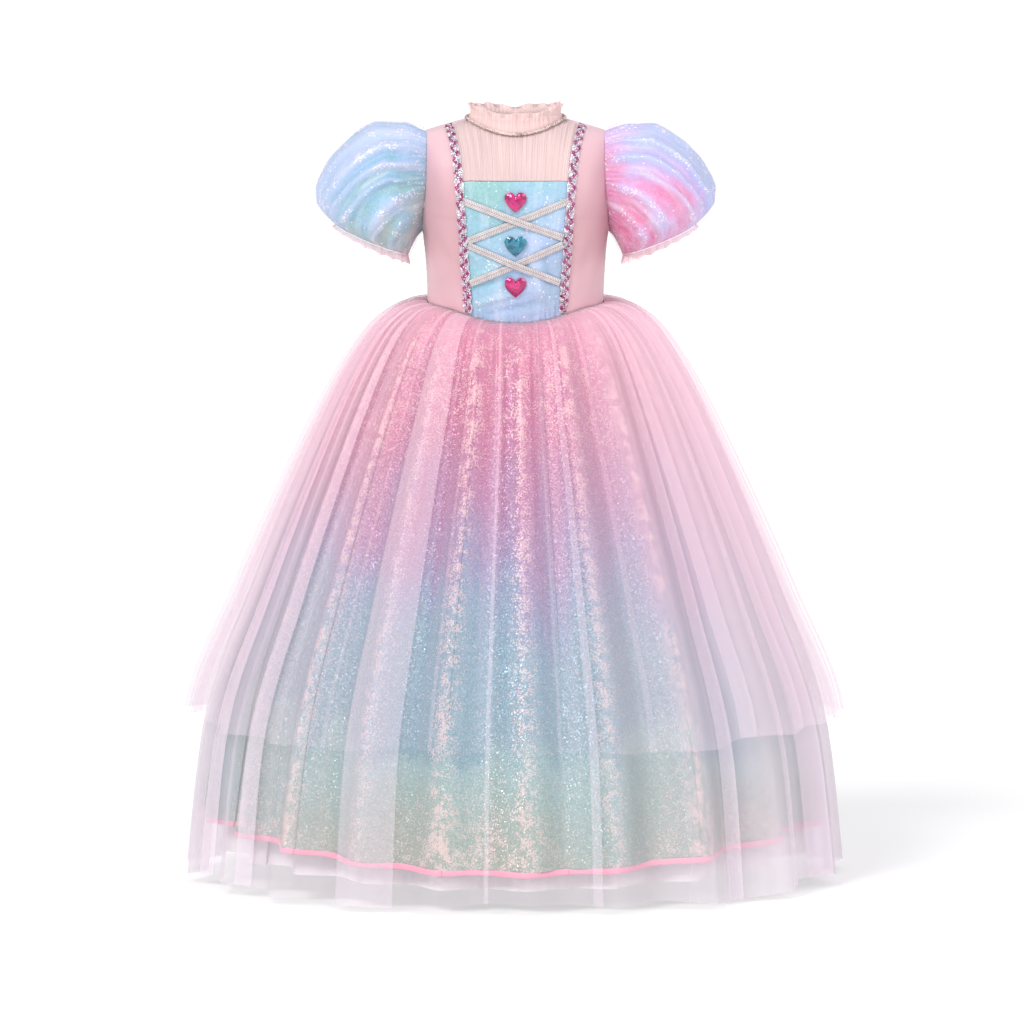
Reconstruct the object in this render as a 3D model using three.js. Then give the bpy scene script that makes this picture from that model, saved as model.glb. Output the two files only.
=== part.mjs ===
// A child's princess costume dress, filled out as if worn: high gathered collar, sheer yoke, laced front
// panel with heart gems, puff sleeves, and a skirt of four gathered layers over an open hollow.
// Millimetres, +Z up, the front faces -Y, and the origin is midway between the shoulder points.
import * as THREE from "three";

// Driving dimensions
const SEAM_GAP = 0.4;
const SATIN = 1.6;
const MESH_CLOTH = 1.2;
const TULLE = 1.1;

// The general figure that the bodice is cut for
const CHEST_Z = -100;
const WAIST_SIDE_Z = -218;
const WAIST_FRONT_DIP = 17;
const WAIST_DIP_SHARPNESS = 12;
const FRONT_SHOULDER_ROUND = 2.2;
const BACK_SHOULDER_ROUND = 3.2;
const SHOULDER_NECK_Z = 15;
const SHOULDER_NECK_X = 57;
const SHOULDER_TIP_X = 113;
// rise runs from 0 at the waist seam through 1 at the chest line to 2 at the shoulder seam.
// Each section is an oval, and square is its exponent: 2 is an ellipse, and more is squarer.
const TORSO = [
  { rise: 0.0, halfWidth: 112, front: 82, back: 72, square: 2.5 },
  { rise: 0.5, halfWidth: 114, front: 88, back: 77, square: 2.5 },
  { rise: 0.8, halfWidth: 119, front: 91, back: 82, square: 2.5 },
  { rise: 1.0, halfWidth: 123, front: 91, back: 84, square: 2.6 },
  { rise: 2.0, halfWidth: 115, front: 90, back: 84, square: 4.0 },
];

// The trimmed seams on the front: half the distance between them
const TRIM_SEAM = [
  { rise: 0.0, x: 60 },
  { rise: 0.6, x: 65 },
  { rise: 1.24, x: 71.5 },
  { rise: 2.0, x: 85 },
];
const PANEL_TOP_RISE = 1.24;
const YOKE_GATHER = { waves: 14, height: 0.5 };
const TRIM = { start: 0.03, end: 1.96, width: 12, thickness: 2, bump: 0.8, bumps: 30, zigzag: 0.8 };

// Neck, collar and neck braid
const NECK = { halfWidth: 60, front: 52, back: 50, y: 2 };
const COLLAR_HEIGHT = { front: 27, back: 18, sharpness: 3.2 };
const COLLAR_GATHERS = 20;
const COLLAR = [
  { height: 0.0, inset: 0.0, wave: 0.2, edge: 0 },
  { height: 0.5, inset: 3.0, wave: 1.0, edge: 0 },
  { height: 1.0, inset: 1.5, wave: 2.2, edge: 1.5 },
];
const NECK_BRAID = { radius: 2.4, out: 2.9, up: 2.6, sides: 3, steps: 40 };

// Armhole, an oval in the view from the side, and the puff sleeves that are gathered into it
const SHOULDER_RIDGE = 3;
const ARMHOLE = { z: -64, halfHeight: 64, halfDepth: 46 };
const SLEEVE_FOLDS = 8;
// Each section is an oval between an outer and an underarm point, with half its size along Y
const SLEEVE = [
  { outX: 122, outZ: 0, underX: 122, underZ: -128, depth: 46, fold: 0.0 },
  { outX: 140, outZ: 9, underX: 126, underZ: -137, depth: 64, fold: 2.0 },
  { outX: 178, outZ: 9, underX: 129, underZ: -143, depth: 80, fold: 3.4 },
  { outX: 222, outZ: -22, underX: 132, underZ: -149, depth: 86, fold: 3.8 },
  { outX: 250, outZ: -64, underX: 134, underZ: -154, depth: 80, fold: 3.4 },
  { outX: 252, outZ: -92, underX: 135, underZ: -157, depth: 68, fold: 2.6 },
  { outX: 229, outZ: -119, underX: 136, underZ: -157, depth: 47, fold: 1.0 },
];
// Each sleeve is cut along its length, and these are the parts from the top forward and round
const SLEEVE_PARTS = ["top", "front", "under", "back"];
const SLEEVE_TULLE_STAND_OFF = 5;
const SLEEVE_SEAM_CLEAR = 2.6;
const CUFF = { frills: 12, clear: 2, drop: 9, flare: 5, wave: 2.4 };

// Lacing straps on the front panel: from the trim on one side to the trim on the other
const STRAP = { width: 9, thickness: 1.8, crossing: 14 };
const STRAPS = [
  { name: "strap_upper_under", leftX: -56, leftZ: -128, rightX: 61, rightZ: -81, over: 0 },
  { name: "strap_upper_over", leftX: -61, leftZ: -81, rightX: 56, rightZ: -124, over: 1 },
  { name: "strap_lower_under", leftX: -53, leftZ: -183, rightX: 56, rightZ: -136, over: 0 },
  { name: "strap_lower_over", leftX: -56, leftZ: -137, rightX: 52, rightZ: -182, over: 1 },
];
const HEART = { width: 28, height: 26, thickness: 5, facet: 2.2, clear: 0.35 };
const HEARTS = [
  { name: "heart_top", z: -80, colour: 0xc8256f },
  { name: "heart_middle", z: -136, colour: 0x1f86a0 },
  { name: "heart_bottom", z: -189, colour: 0xc8256f },
];
const PLACKET = { width: 16, thickness: 1.2, clear: 0.6 };

// Skirt layers: how far each stands out beyond the waist seam, row by row from that seam down.
// The second row is above the first, because the gathers puff up a little before they fall.
const SKIRT_DEPTH_CUT = 30;
const BACK_DEPTH_CUT = 40;
const SKIRT_FOLDS = 15;
const LAYER_STEP = 1.8;
const FLARE = [
  { drop: 0, tier: 0, tulle: 0, sequin: 0, lining: 0, fold: 0.0 },
  { drop: -2, tier: 12, tulle: 11, sequin: 10, lining: 9, fold: 1.0 },
  { drop: 7, tier: 40, tulle: 36, sequin: 31, lining: 25, fold: 3.0 },
  { drop: 38, tier: 75, tulle: 68, sequin: 59, lining: 47, fold: 6.5 },
  { drop: 110, tier: 119, tulle: 109, sequin: 97, lining: 79, fold: 9.0 },
  { drop: 230, tier: 176, tulle: 161, sequin: 146, lining: 123, fold: 11.0 },
  { drop: 370, tier: 237, tulle: 216, sequin: 198, lining: 174, fold: 12.5 },
  { drop: 527, tier: 297, tulle: 271, sequin: 248, lining: 224, fold: 14.0 },
  { drop: 730, tier: 297, tulle: 295, sequin: 279, lining: 255, fold: 16.0 },
];
const LAYERS = [
  { key: "tier", hem: -745, sideRise: 0, stack: 0, columnsPerFold: 4, wall: TULLE, colour: 0xf2d3de },
  { key: "tulle", hem: -942, sideRise: 0, stack: 1, columnsPerFold: 4, wall: TULLE, colour: 0xf2d3de },
  { key: "sequin", hem: -905, sideRise: 30, stack: 2, columnsPerFold: 4, wall: 1.3, colour: 0x9fc0dc },
  { key: "lining", hem: -925, sideRise: 12, stack: 3.4, columnsPerFold: 2, wall: TULLE, colour: 0xefe9ec },
];
// Each layer is cut in six gores, named by where their middles lie, and the binding in two lengths
const GORES = ["front", "front_right", "back_right", "back", "back_left", "front_left"];
const BINDING_LENGTHS = ["front", "back"];
const HEM_BINDING = { height: 7, wall: 2.4 };

// Colours of the cloths, trims and gems
const PINK_SATIN = 0xf0c0d0;
const IRIDESCENT = 0xa9c8e4;
const PEACH_MESH = 0xe8cfcc;
const PINK_TULLE = 0xf2d3de;
const SLEEVE_COLOUR = { left: 0xaecde8, right: 0xd9b4e2 };
const FRILL = 0xf3b9cc;
const BINDING = 0xf09ab8;
const LACING = 0xd8cfc4;
const SEQUIN_BRAID = 0xd98cb0;

const quarter = Math.PI / 2;
const SIDES = [["right", 1], ["left", -1]];

// Smooth interpolation in a table whose rows rise along one column
function along(table, key, at, column) {
  const last = table.length - 1;
  let i = table.findIndex((row) => row[key] > at) - 1;
  if (i < -1) i = at >= table[last][key] ? last - 1 : 0;
  i = Math.min(Math.max(i, 0), last - 1);
  const share = (at - table[i][key]) / (table[i + 1][key] - table[i][key]);
  const before = table[Math.max(i - 1, 0)][column];
  const after = table[Math.min(i + 2, last)][column];
  const [from, to] = [table[i][column], table[i + 1][column]];
  const smooth = 0.5 * ((to - before) * share
    + (2 * before - 5 * from + 4 * to - after) * share ** 2
    + (3 * from - before - 3 * to + after) * share ** 3) + from;
  return THREE.MathUtils.clamp(smooth, Math.min(from, to), Math.max(from, to));
}

// Reads the same table by row number, for tables whose rows are sections in order
function section(table, at, column) {
  const numbered = table.map((row, row_number) => ({ ...row, row_number }));
  return along(numbered, "row_number", at, column);
}

// The value between two ends at which a test that holds at the low end stops holding
function search(holds, low, high) {
  for (let i = 0; i < 30; i += 1) {
    const middle = (low + high) / 2;
    if (holds(middle)) low = middle;
    else high = middle;
  }
  return high;
}

// A closed wall: an outer grid of points, the same grid moved in by the wall's thickness, and its rims.
// point(u, v) has u round or across and v up or along, ring says that u joins up with itself, and lift(u, v)
// moves the whole wall out from those points, square to them, for what lies on another piece.
function wall(point, columns, rows, thickness, { ring = false, flip = false, lift = () => 0 } = {}) {
  const across = columns.length;
  const side = flip ? -1 : 1;
  const step = 1e-3;
  const outer = [];
  const inner = [];
  rows.forEach((v) => columns.forEach((u) => {
    const here = point(u, v);
    const alongU = point(u + step, v).sub(point(u - step, v));
    const upV = point(u, Math.min(v + step, rows.at(-1))).sub(point(u, Math.max(v - step, rows[0])));
    const out = alongU.cross(upV).normalize().multiplyScalar(side);
    here.addScaledVector(out, lift(u, v));
    outer.push(here);
    inner.push(here.clone().addScaledVector(out, -thickness));
  }));
  const points = [...outer, ...inner];
  const shift = outer.length;
  const faces = [];
  const quad = (a, b, c, d) => (flip ? faces.push(a, c, b, a, d, c) : faces.push(a, b, c, a, c, d));
  const spans = ring ? across : across - 1;
  for (let j = 0; j < rows.length; j += 1) {
    for (let i = 0; i < spans; i += 1) {
      const a = j * across + i;
      const b = j * across + ((i + 1) % across);
      if (j < rows.length - 1) {
        quad(a, b, b + across, a + across);
        quad(a + shift, a + across + shift, b + across + shift, b + shift);
      }
      if (j === 0) quad(a + shift, b + shift, b, a);
      if (j === rows.length - 1) quad(a, b, b + shift, a + shift);
    }
    if (!ring && j < rows.length - 1) {
      const start = j * across;
      const end = start + across - 1;
      quad(start, start + across, start + across + shift, start + shift);
      quad(end, end + shift, end + across + shift, end + across);
    }
  }
  const geometry = new THREE.BufferGeometry().setFromPoints(points);
  geometry.setIndex(faces);
  geometry.computeVertexNormals();
  return geometry;
}

// Evenly spaced values from one end to the other, both included
function spaced(from, to, spans) {
  return Array.from({ length: spans + 1 }, (_, i) => from + ((to - from) * i) / spans);
}

// Evenly spaced turns of a closed ring, which starts again where it ends
function turns(count) {
  return Array.from({ length: count }, (_, i) => (2 * Math.PI * i) / count);
}

const dress = new THREE.Group();

function add(name, geometry, colour, { roughness = 0.6, metalness = 0 } = {}) {
  const material = new THREE.MeshStandardMaterial({ color: colour, roughness, metalness });
  const mesh = new THREE.Mesh(geometry, material);
  mesh.name = name;
  dress.add(mesh);
  return mesh;
}

// Figure: the waist seam's height at an angle from the front centre, and the shoulder line's height at x
function waistZ(angle) {
  const nearFront = (1 + Math.cos(angle)) / 2;
  return WAIST_SIDE_Z - WAIST_FRONT_DIP * nearFront ** WAIST_DIP_SHARPNESS;
}

function shoulderZ(x) {
  const share = (Math.abs(x) - SHOULDER_NECK_X) / (SHOULDER_TIP_X - SHOULDER_NECK_X);
  return SHOULDER_NECK_Z * (1 - Math.max(share, 0));
}

function oval(rise) {
  return along(TORSO, "rise", rise, "square");
}

function isFront(angle) {
  return Math.cos(angle) >= -1e-9;
}

// A point of the figure at an angle round it and a rise, moved out square to the surface's plan
function torso(angle, rise, front = isFront(angle)) {
  const power = 2 / oval(rise);
  const across = Math.abs(Math.sin(angle)) ** power * Math.sign(Math.sin(angle));
  const deep = Math.abs(Math.cos(angle)) ** power;
  const x = along(TORSO, "rise", rise, "halfWidth") * across;
  const round = front ? FRONT_SHOULDER_ROUND : BACK_SHOULDER_ROUND;
  let depth = along(TORSO, "rise", rise, front ? "front" : "back") * deep;
  let z = waistZ(angle) + SEAM_GAP + (CHEST_Z - waistZ(angle)) * rise;
  if (rise > 1) {
    const tilt = (Math.min(rise, 2) - 1) * quarter;
    z = CHEST_Z + (shoulderZ(x) - CHEST_Z) * Math.sin(tilt) ** (2 / round);
    depth *= Math.abs(Math.cos(tilt)) ** (2 / round);
  }
  return new THREE.Vector3(x, (depth + SEAM_GAP / 2) * (front ? -1 : 1), z);
}

// The angle at which the figure reaches a given x
function angleAtX(x, rise) {
  const share = Math.min(Math.abs(x) / along(TORSO, "rise", rise, "halfWidth"), 1);
  return Math.asin(share ** (oval(rise) / 2)) * Math.sign(x);
}

function trimX(rise) {
  return along(TRIM_SEAM, "rise", rise, "x");
}

// The rise at which the front or back reaches a given height, at a given x
function riseAt(x, z, front = true) {
  if (z > CHEST_Z) {
    const share = Math.min((z - CHEST_Z) / (shoulderZ(x) - CHEST_Z), 1);
    return 1 + Math.asin(share ** ((front ? FRONT_SHOULDER_ROUND : BACK_SHOULDER_ROUND) / 2)) / quarter;
  }
  const bottom = waistZ(angleAtX(x, 0.5));
  return (z - bottom - SEAM_GAP) / (CHEST_Z - bottom);
}

// A point on the front by its place in the front view
function onFront(x, z) {
  const rise = riseAt(x, z);
  return torso(angleAtX(x, rise), rise, true);
}

// Armhole: the angle where the bodice ends at a given rise, and the ring that the sleeve starts from
function armholeDepth(z) {
  return ARMHOLE.halfDepth * Math.sqrt(Math.max(1 - ((z - ARMHOLE.z) / ARMHOLE.halfHeight) ** 2, 0));
}

function armholeAngle(rise, front) {
  const low = rise <= 1 ? torso(quarter, rise, front).z : 0;
  const side = front ? "front" : "back";
  const round = front ? FRONT_SHOULDER_ROUND : BACK_SHOULDER_ROUND;
  const tilt = (Math.min(Math.max(rise, 1), 1.985) - 1) * quarter;
  const z = rise <= 1 ? low : CHEST_Z * (1 - Math.sin(tilt) ** (2 / round));
  const reach = along(TORSO, "rise", rise, side) * Math.cos(tilt) ** (2 / round);
  const angle = Math.acos(Math.min(armholeDepth(z) / reach, 1) ** (oval(rise) / 2));
  return front ? angle : Math.PI - angle;
}

// Neck: the ring where the collar is sewn on, lying on the figure
function neckY(angle) {
  return NECK.y - (Math.cos(angle) > 0 ? NECK.front : NECK.back) * Math.cos(angle);
}

function neckRing(angle, out = 0) {
  const [x, y] = [NECK.halfWidth * Math.sin(angle), neckY(angle)];
  const rise = search((middle) => Math.abs(torso(angleAtX(x, middle), middle, y < 0).y) > Math.abs(y), 1, 2);
  const { z } = torso(angleAtX(x, rise), rise, y < 0);
  return new THREE.Vector3(x + out * Math.sin(angle), y - out * Math.cos(angle), z);
}

// How far up a line on the figure gets before it meets the neck ring, or the shoulder seam outside it
function riseToNeck(angleAt, front) {
  return search((rise) => {
    const here = torso(angleAt(rise), rise, front);
    return Math.hypot(here.x / NECK.halfWidth, (here.y - NECK.y) / (front ? NECK.front : NECK.back)) > 1;
  }, 1, 2);
}

// Bodice rows: closer together over the shoulder, where the cloth turns
const SHOULDER_ROWS = [0, 0.3, 0.6, 0.85, 1, 1.2, 1.4, 1.6, 1.8, 1.92, 2];

function bodice() {
  const half = SEAM_GAP / 2;
  SIDES.forEach(([name, side]) => {
    const seam = (rise) => angleAtX(trimX(rise) + half, rise);
    const front = (u, rise) => {
      const angle = THREE.MathUtils.lerp(seam(rise), Math.min(armholeAngle(rise, true), quarter), u);
      return torso(angle * side, rise, true);
    };
    const form = { flip: side < 0 };
    add("front_side_" + name, wall(front, spaced(0, 1, 6), SHOULDER_ROWS, SATIN, form), PINK_SATIN);

    const backAngle = (u, rise) => THREE.MathUtils.lerp(
      Math.max(armholeAngle(rise, false), quarter),
      Math.PI - angleAtX(half, rise),
      u,
    );
    const back = (u, v) => {
      const top = riseToNeck((rise) => backAngle(u, rise), false);
      const rise = Math.min(v, 1) + Math.max(v - 1, 0) * (top - 1);
      return torso(backAngle(u, rise) * side, rise, false);
    };
    add("back_" + name, wall(back, spaced(0, 1, 9), SHOULDER_ROWS, SATIN, form), PINK_SATIN);
  });

  const panel = (u, rise) => torso(angleAtX(u * (trimX(rise) - half), rise), rise, true);
  const panelRows = [0, 0.3, 0.6, 0.85, 1, 1.12, PANEL_TOP_RISE];
  add("front_panel", wall(panel, spaced(-1, 1, 10), panelRows, SATIN), IRIDESCENT, { roughness: 0.35 });

  const yoke = (u, v) => {
    const angleAt = (rise) => angleAtX(u * (trimX(rise) - half), rise);
    const bottom = PANEL_TOP_RISE + SEAM_GAP / 100;
    const rise = THREE.MathUtils.lerp(bottom, riseToNeck(angleAt, true), v);
    return torso(angleAt(rise), rise, true);
  };
  const lift = (u) => YOKE_GATHER.height * Math.cos(YOKE_GATHER.waves * Math.PI * u);
  const columns = spaced(-1, 1, YOKE_GATHER.waves * 3);
  add("yoke", wall(yoke, columns, spaced(0, 1, 4), MESH_CLOTH, { lift }), PEACH_MESH);
}

// The strip that laps over the centre back seam, from the waist to the collar
function placket() {
  const strip = (x, v) => torso(Math.PI - angleAtX(x, backRise(v)), backRise(v), false);
  const columns = [-PLACKET.width / 2, 0, PLACKET.width / 2];
  const rows = [0.03, ...SHOULDER_ROWS.slice(1, -1), 1.95];
  const lift = () => PLACKET.clear + PLACKET.thickness;
  add("back_placket", wall(strip, columns, rows, PLACKET.thickness, { flip: true, lift }), PINK_SATIN);
}

// At the centre back the panels end at the neck, so their rows come closer together above the chest line
function backRise(v) {
  const top = riseToNeck(() => Math.PI, false);
  return Math.min(v, 1) + Math.max(v - 1, 0) * (top - 1);
}

// A gathered stand collar, open at the centre back, and the braid that covers its seam
function collar() {
  const opening = 0.012;
  const strip = (angle, level) => {
    const nearFront = ((1 + Math.cos(angle)) / 2) ** COLLAR_HEIGHT.sharpness;
    const height = level * THREE.MathUtils.lerp(COLLAR_HEIGHT.back, COLLAR_HEIGHT.front, nearFront);
    const phase = Math.cos(COLLAR_GATHERS * angle);
    const waves = section(COLLAR, level * 2, "wave") * phase;
    const edge = section(COLLAR, level * 2, "edge") * Math.sin(7 * angle + 1);
    const here = neckRing(angle, waves - section(COLLAR, level * 2, "inset"));
    here.z += 2 * SEAM_GAP + height + edge;
    return here;
  };
  const columns = spaced(-Math.PI + opening, Math.PI - opening, COLLAR_GATHERS * 3);
  add("collar", wall(strip, columns, [0, 0.5, 1], MESH_CLOTH), PEACH_MESH);

  const { radius, out, up, sides, steps } = NECK_BRAID;
  const path = new THREE.CatmullRomCurve3(spaced(-Math.PI + 0.03, Math.PI - 0.03, steps).map((angle) => {
    const here = neckRing(angle, out);
    here.z = neckRing(angle).z + up;
    return here;
  }));
  const round = new THREE.Shape();
  round.absarc(0, 0, radius, 0, 2 * Math.PI);
  const braid = new THREE.ExtrudeGeometry(round, { steps, curveSegments: sides, extrudePath: path });
  add("neck_braid", braid, PEACH_MESH);
}

// Sequined braid over each front seam: raised in short bumps, with a zigzag edge
function trims() {
  SIDES.forEach(([name, side]) => {
    const bump = (v) => Math.cos(v * TRIM.bumps * Math.PI);
    const riseOf = (v) => TRIM.start + v * (TRIM.end - TRIM.start);
    const strip = (u, v) => {
      const x = (trimX(riseOf(v)) + (u * TRIM.width) / 2 + TRIM.zigzag * bump(v)) * side;
      return torso(angleAtX(x, riseOf(v)), riseOf(v), true);
    };
    const lift = (u, v) => SEAM_GAP + TRIM.thickness + TRIM.bump * (1 - Math.abs(u)) * bump(v);
    const wallOf = { flip: side < 0, lift };
    const geometry = wall(strip, [-1, 0, 1], spaced(0, 1, TRIM.bumps), TRIM.thickness - TRIM.bump, wallOf);
    add("trim_" + name, geometry, SEQUIN_BRAID, { roughness: 0.3, metalness: 0.2 });
  });
}

// Crossed flat straps: one of each pair rises over the other where they meet
function lacing() {
  STRAPS.forEach(({ name, leftX, leftZ, rightX, rightZ, over }) => {
    const slope = (rightZ - leftZ) / (rightX - leftX);
    const lean = new THREE.Vector2(-slope, 1).normalize();
    const strip = (u, x) => {
      const reach = (u * STRAP.width) / 2;
      return onFront(x + lean.x * reach, leftZ + slope * (x - leftX) + lean.y * reach);
    };
    const lift = (u, x) => {
      const down = THREE.MathUtils.smoothstep(Math.abs(x), STRAP.crossing, 2 * STRAP.crossing);
      return SEAM_GAP + STRAP.thickness + over * (STRAP.thickness + 2 * SEAM_GAP) * (1 - down);
    };
    const stops = [-3, -2, -1.5, -1, 0, 1, 1.5, 2, 3].map((share) => share * STRAP.crossing);
    const form = { flip: true, lift };
    add(name, wall(strip, [-1, 0, 1], [leftX, ...stops, rightX], STRAP.thickness, form), LACING);
  });
}

// Heart-shaped gems with a bevelled crown, sewn flat to the panel
function hearts() {
  const [w, h] = [HEART.width / 2 - HEART.facet, HEART.height / 2 - HEART.facet];
  const outline = new THREE.Shape();
  outline.moveTo(0, -h);
  outline.bezierCurveTo(w * 0.55, -h * 0.55, w, -h * 0.05, w, h * 0.42);
  outline.bezierCurveTo(w, h * 1.12, w * 0.12, h * 1.22, 0, h * 0.5);
  outline.bezierCurveTo(-w * 0.12, h * 1.22, -w, h * 1.12, -w, h * 0.42);
  outline.bezierCurveTo(-w, -h * 0.05, -w * 0.55, -h * 0.55, 0, -h);
  HEARTS.forEach(({ name, z, colour }) => {
    const gem = new THREE.ExtrudeGeometry(outline, {
      depth: HEART.thickness - 2 * HEART.facet,
      curveSegments: 5,
      bevelThickness: HEART.facet,
      bevelSize: HEART.facet,
      bevelSegments: 1,
    });
    const mesh = add(name, gem, colour, { roughness: 0.1 });
    const up = onFront(0, z + h).sub(onFront(0, z - h));
    const out = new THREE.Vector3(0, -up.z, up.y).normalize();
    mesh.rotation.x = quarter - Math.atan2(up.y, up.z);
    mesh.position.copy(onFront(0, z)).addScaledVector(out, HEART.facet + HEART.clear);
  });
}

// Puff sleeves: the gathered sleeve, the tulle puffed over it, and the frilled cuff at its edge
function sleevePoint(turn, station) {
  const part = station * (SLEEVE.length - 1);
  const [outX, outZ, underX, underZ, depth, fold] = ["outX", "outZ", "underX", "underZ", "depth", "fold"]
    .map((column) => section(SLEEVE, part, column));
  const creases = fold * away(turn) * Math.cos(SLEEVE_FOLDS * turn + 0.8 * Math.sin(2 * turn));
  const half = Math.hypot(outX - underX, outZ - underZ) / 2 + creases;
  const lie = Math.atan2(outZ - underZ, outX - underX);
  const here = new THREE.Vector3(
    (outX + underX) / 2 + half * Math.cos(turn) * Math.cos(lie),
    -(depth + creases) * Math.sin(turn),
    (outZ + underZ) / 2 + half * Math.cos(turn) * Math.sin(lie),
  );
  const seamY = -ARMHOLE.halfDepth * Math.sin(turn);
  const seamZ = ARMHOLE.z + ARMHOLE.halfHeight * Math.cos(turn);
  const atSeam = Math.max(1 - part, 0);
  here.x = THREE.MathUtils.lerp(here.x, armholeX(seamY, seamZ) + SLEEVE_SEAM_CLEAR, atSeam ** 2);
  return here;
}

// Folds and tulle stand out everywhere but under the arm, where they are pressed against the side
function away(turn) {
  return 0.2 + 0.8 * THREE.MathUtils.smoothstep(Math.cos(turn), -0.95, -0.3);
}

// Where the figure's side lies at a place of the armhole seen from the side. The shoulder has a sharp
// ridge, so nearer to it than its half width the side counts as straight.
function sideX(y, z, front) {
  const deep = Math.max(Math.abs(y), SHOULDER_RIDGE);
  const widest = z > CHEST_Z ? TORSO.at(-1).halfWidth + 8 : along(TORSO, "rise", riseAt(0.9, z), "halfWidth");
  const deeper = (x) => {
    const rise = riseAt(x, z, front);
    return Math.abs(torso(angleAtX(x, rise), rise, front).y) > deep;
  };
  return search(deeper, TORSO.at(-1).halfWidth / 2, widest);
}

// The front's side runs over into the back's across the shoulder seam and the side seam
function armholeX(y, z) {
  const share = THREE.MathUtils.smoothstep(y, -3 * SHOULDER_RIDGE, 3 * SHOULDER_RIDGE);
  return THREE.MathUtils.lerp(sideX(y, z, true), sideX(y, z, false), share);
}

function sleeves() {
  SIDES.forEach(([name, side]) => {
    const form = { ring: true, flip: side < 0 };
    const mirrored = (here) => here.setX(here.x * side);
    const puff = (turn, station) => mirrored(sleevePoint(turn, station));
    const columns = turns(SLEEVE_FOLDS * 3);
    const rows = spaced(0, 1, SLEEVE.length - 1);
    const count = SLEEVE_PARTS.length;
    SLEEVE_PARTS.forEach((place, i) => {
      const cut = (u, station) => {
        const seam = SEAM_GAP / 2 / section(SLEEVE, station * (SLEEVE.length - 1), "depth");
        return puff((2 * Math.PI * i) / count + u * (Math.PI / count - seam), station);
      };
      const cloth = wall(cut, spaced(-1, 1, columns.length / count), rows, MESH_CLOTH, { flip: side < 0 });
      add(["sleeve", name, place].join("_"), cloth, SLEEVE_COLOUR[name], { roughness: 0.35 });
    });

    const lift = (turn, station) => 2 * SEAM_GAP + TULLE
      + SLEEVE_TULLE_STAND_OFF * away(turn) * Math.sin(Math.PI * Math.min(station, 1)) ** 0.7;
    const short = [...rows.slice(0, -1), 0.985];
    add("sleeve_tulle_" + name, wall(puff, columns, short, TULLE, { ...form, lift }), PINK_TULLE);

    const [top, under] = [sleevePoint(0, 1), sleevePoint(Math.PI, 1)];
    const centre = top.clone().add(under).multiplyScalar(0.5);
    const down = new THREE.Vector3(top.z - under.z, 0, under.x - top.x).normalize();
    const frill = (turn, level) => {
      const base = sleevePoint(turn, 1);
      const out = base.clone().sub(centre).normalize();
      const flare = level * (CUFF.flare + CUFF.wave * Math.cos(CUFF.frills * turn));
      return mirrored(base.addScaledVector(down, CUFF.clear + CUFF.drop * level).addScaledVector(out, flare));
    };
    add("cuff_" + name, wall(frill, turns(CUFF.frills * 3), [0, 1], MESH_CLOTH, form), FRILL);
  });
}

// Skirt: each layer is gathered into the waist seam, stands out over the hip and falls in folds
function foldWave(angle) {
  const uneven = 0.8 * Math.sin(3 * angle + 1) + 0.5 * Math.sin(5 * angle);
  return Math.cos(SKIRT_FOLDS * angle + uneven) * (0.8 + 0.2 * Math.sin(4 * angle + 2));
}

// The row number, with its fraction, at which the table reaches a drop
function stationAt(drop) {
  const row = FLARE.findIndex((entry) => entry.drop >= drop && entry.drop > 0);
  return search((station) => section(FLARE, station, "drop") < drop, row - 1, row);
}

// Its plan leaves the seam in the bodice's own oval and is nearly round a hand's width below
function skirtPoint(layer, angle, station) {
  const drop = section(FLARE, station, "drop");
  const longest = WAIST_SIDE_Z - layer.hem;
  const top = waistZ(angle) - layer.stack * LAYER_STEP;
  const hem = layer.hem + layer.sideRise * Math.sin(angle) ** 2;
  const reach = section(FLARE, station, layer.key) + section(FLARE, station, "fold") * foldWave(angle);
  const halfWidth = TORSO[0].halfWidth + reach;
  const depth = halfWidth - (isFront(angle) ? SKIRT_DEPTH_CUT : BACK_DEPTH_CUT);
  const power = THREE.MathUtils.lerp(2 / oval(0), 1, THREE.MathUtils.clamp((station - 1) / 3, 0, 1));
  const across = Math.abs(Math.sin(angle)) ** power * Math.sign(Math.sin(angle));
  const deep = Math.abs(Math.cos(angle)) ** power * (isFront(angle) ? -1 : 1);
  const z = drop <= 0 ? top - drop : top - (drop * (top - hem)) / longest;
  return new THREE.Vector3(halfWidth * across, depth * deep, z);
}

function skirt() {
  LAYERS.forEach((layer) => {
    const longest = WAIST_SIDE_Z - layer.hem;
    const bound = layer.key === "sequin" ? HEM_BINDING.height : 0;
    const whole = FLARE.map((_, row) => row).filter((row) => FLARE[row].drop < longest - bound - 20);
    const stations = [...whole, stationAt(longest - bound)];
    // The i-th of some equal cuts round the layer: u runs from -1 at one of its seams to 1 at the other
    const cut = (i, cuts) => (u, station) => {
      const seam = SEAM_GAP / 2 / (TORSO[0].halfWidth + section(FLARE, station, layer.key));
      return skirtPoint(layer, (2 * Math.PI * i) / cuts + u * (Math.PI / cuts - seam), station);
    };
    const columns = (cuts) => spaced(-1, 1, (SKIRT_FOLDS * layer.columnsPerFold) / cuts);
    GORES.forEach((name, i) => {
      const gore = wall(cut(i, GORES.length), columns(GORES.length), stations, layer.wall, { flip: true });
      add("skirt_" + layer.key + "_" + name, gore, layer.colour);
    });
    if (!bound) return;
    const edge = [stationAt(longest - bound + SEAM_GAP), stationAt(longest)];
    const form = { flip: true, lift: () => (HEM_BINDING.wall - layer.wall) / 2 };
    BINDING_LENGTHS.forEach((name, i) => {
      const strip = cut(i, BINDING_LENGTHS.length);
      add("hem_binding_" + name, wall(strip, columns(BINDING_LENGTHS.length), edge, HEM_BINDING.wall, form), BINDING);
    });
  });
}

bodice();
placket();
collar();
trims();
lacing();
hearts();
sleeves();
skirt();

export default dress;
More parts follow.
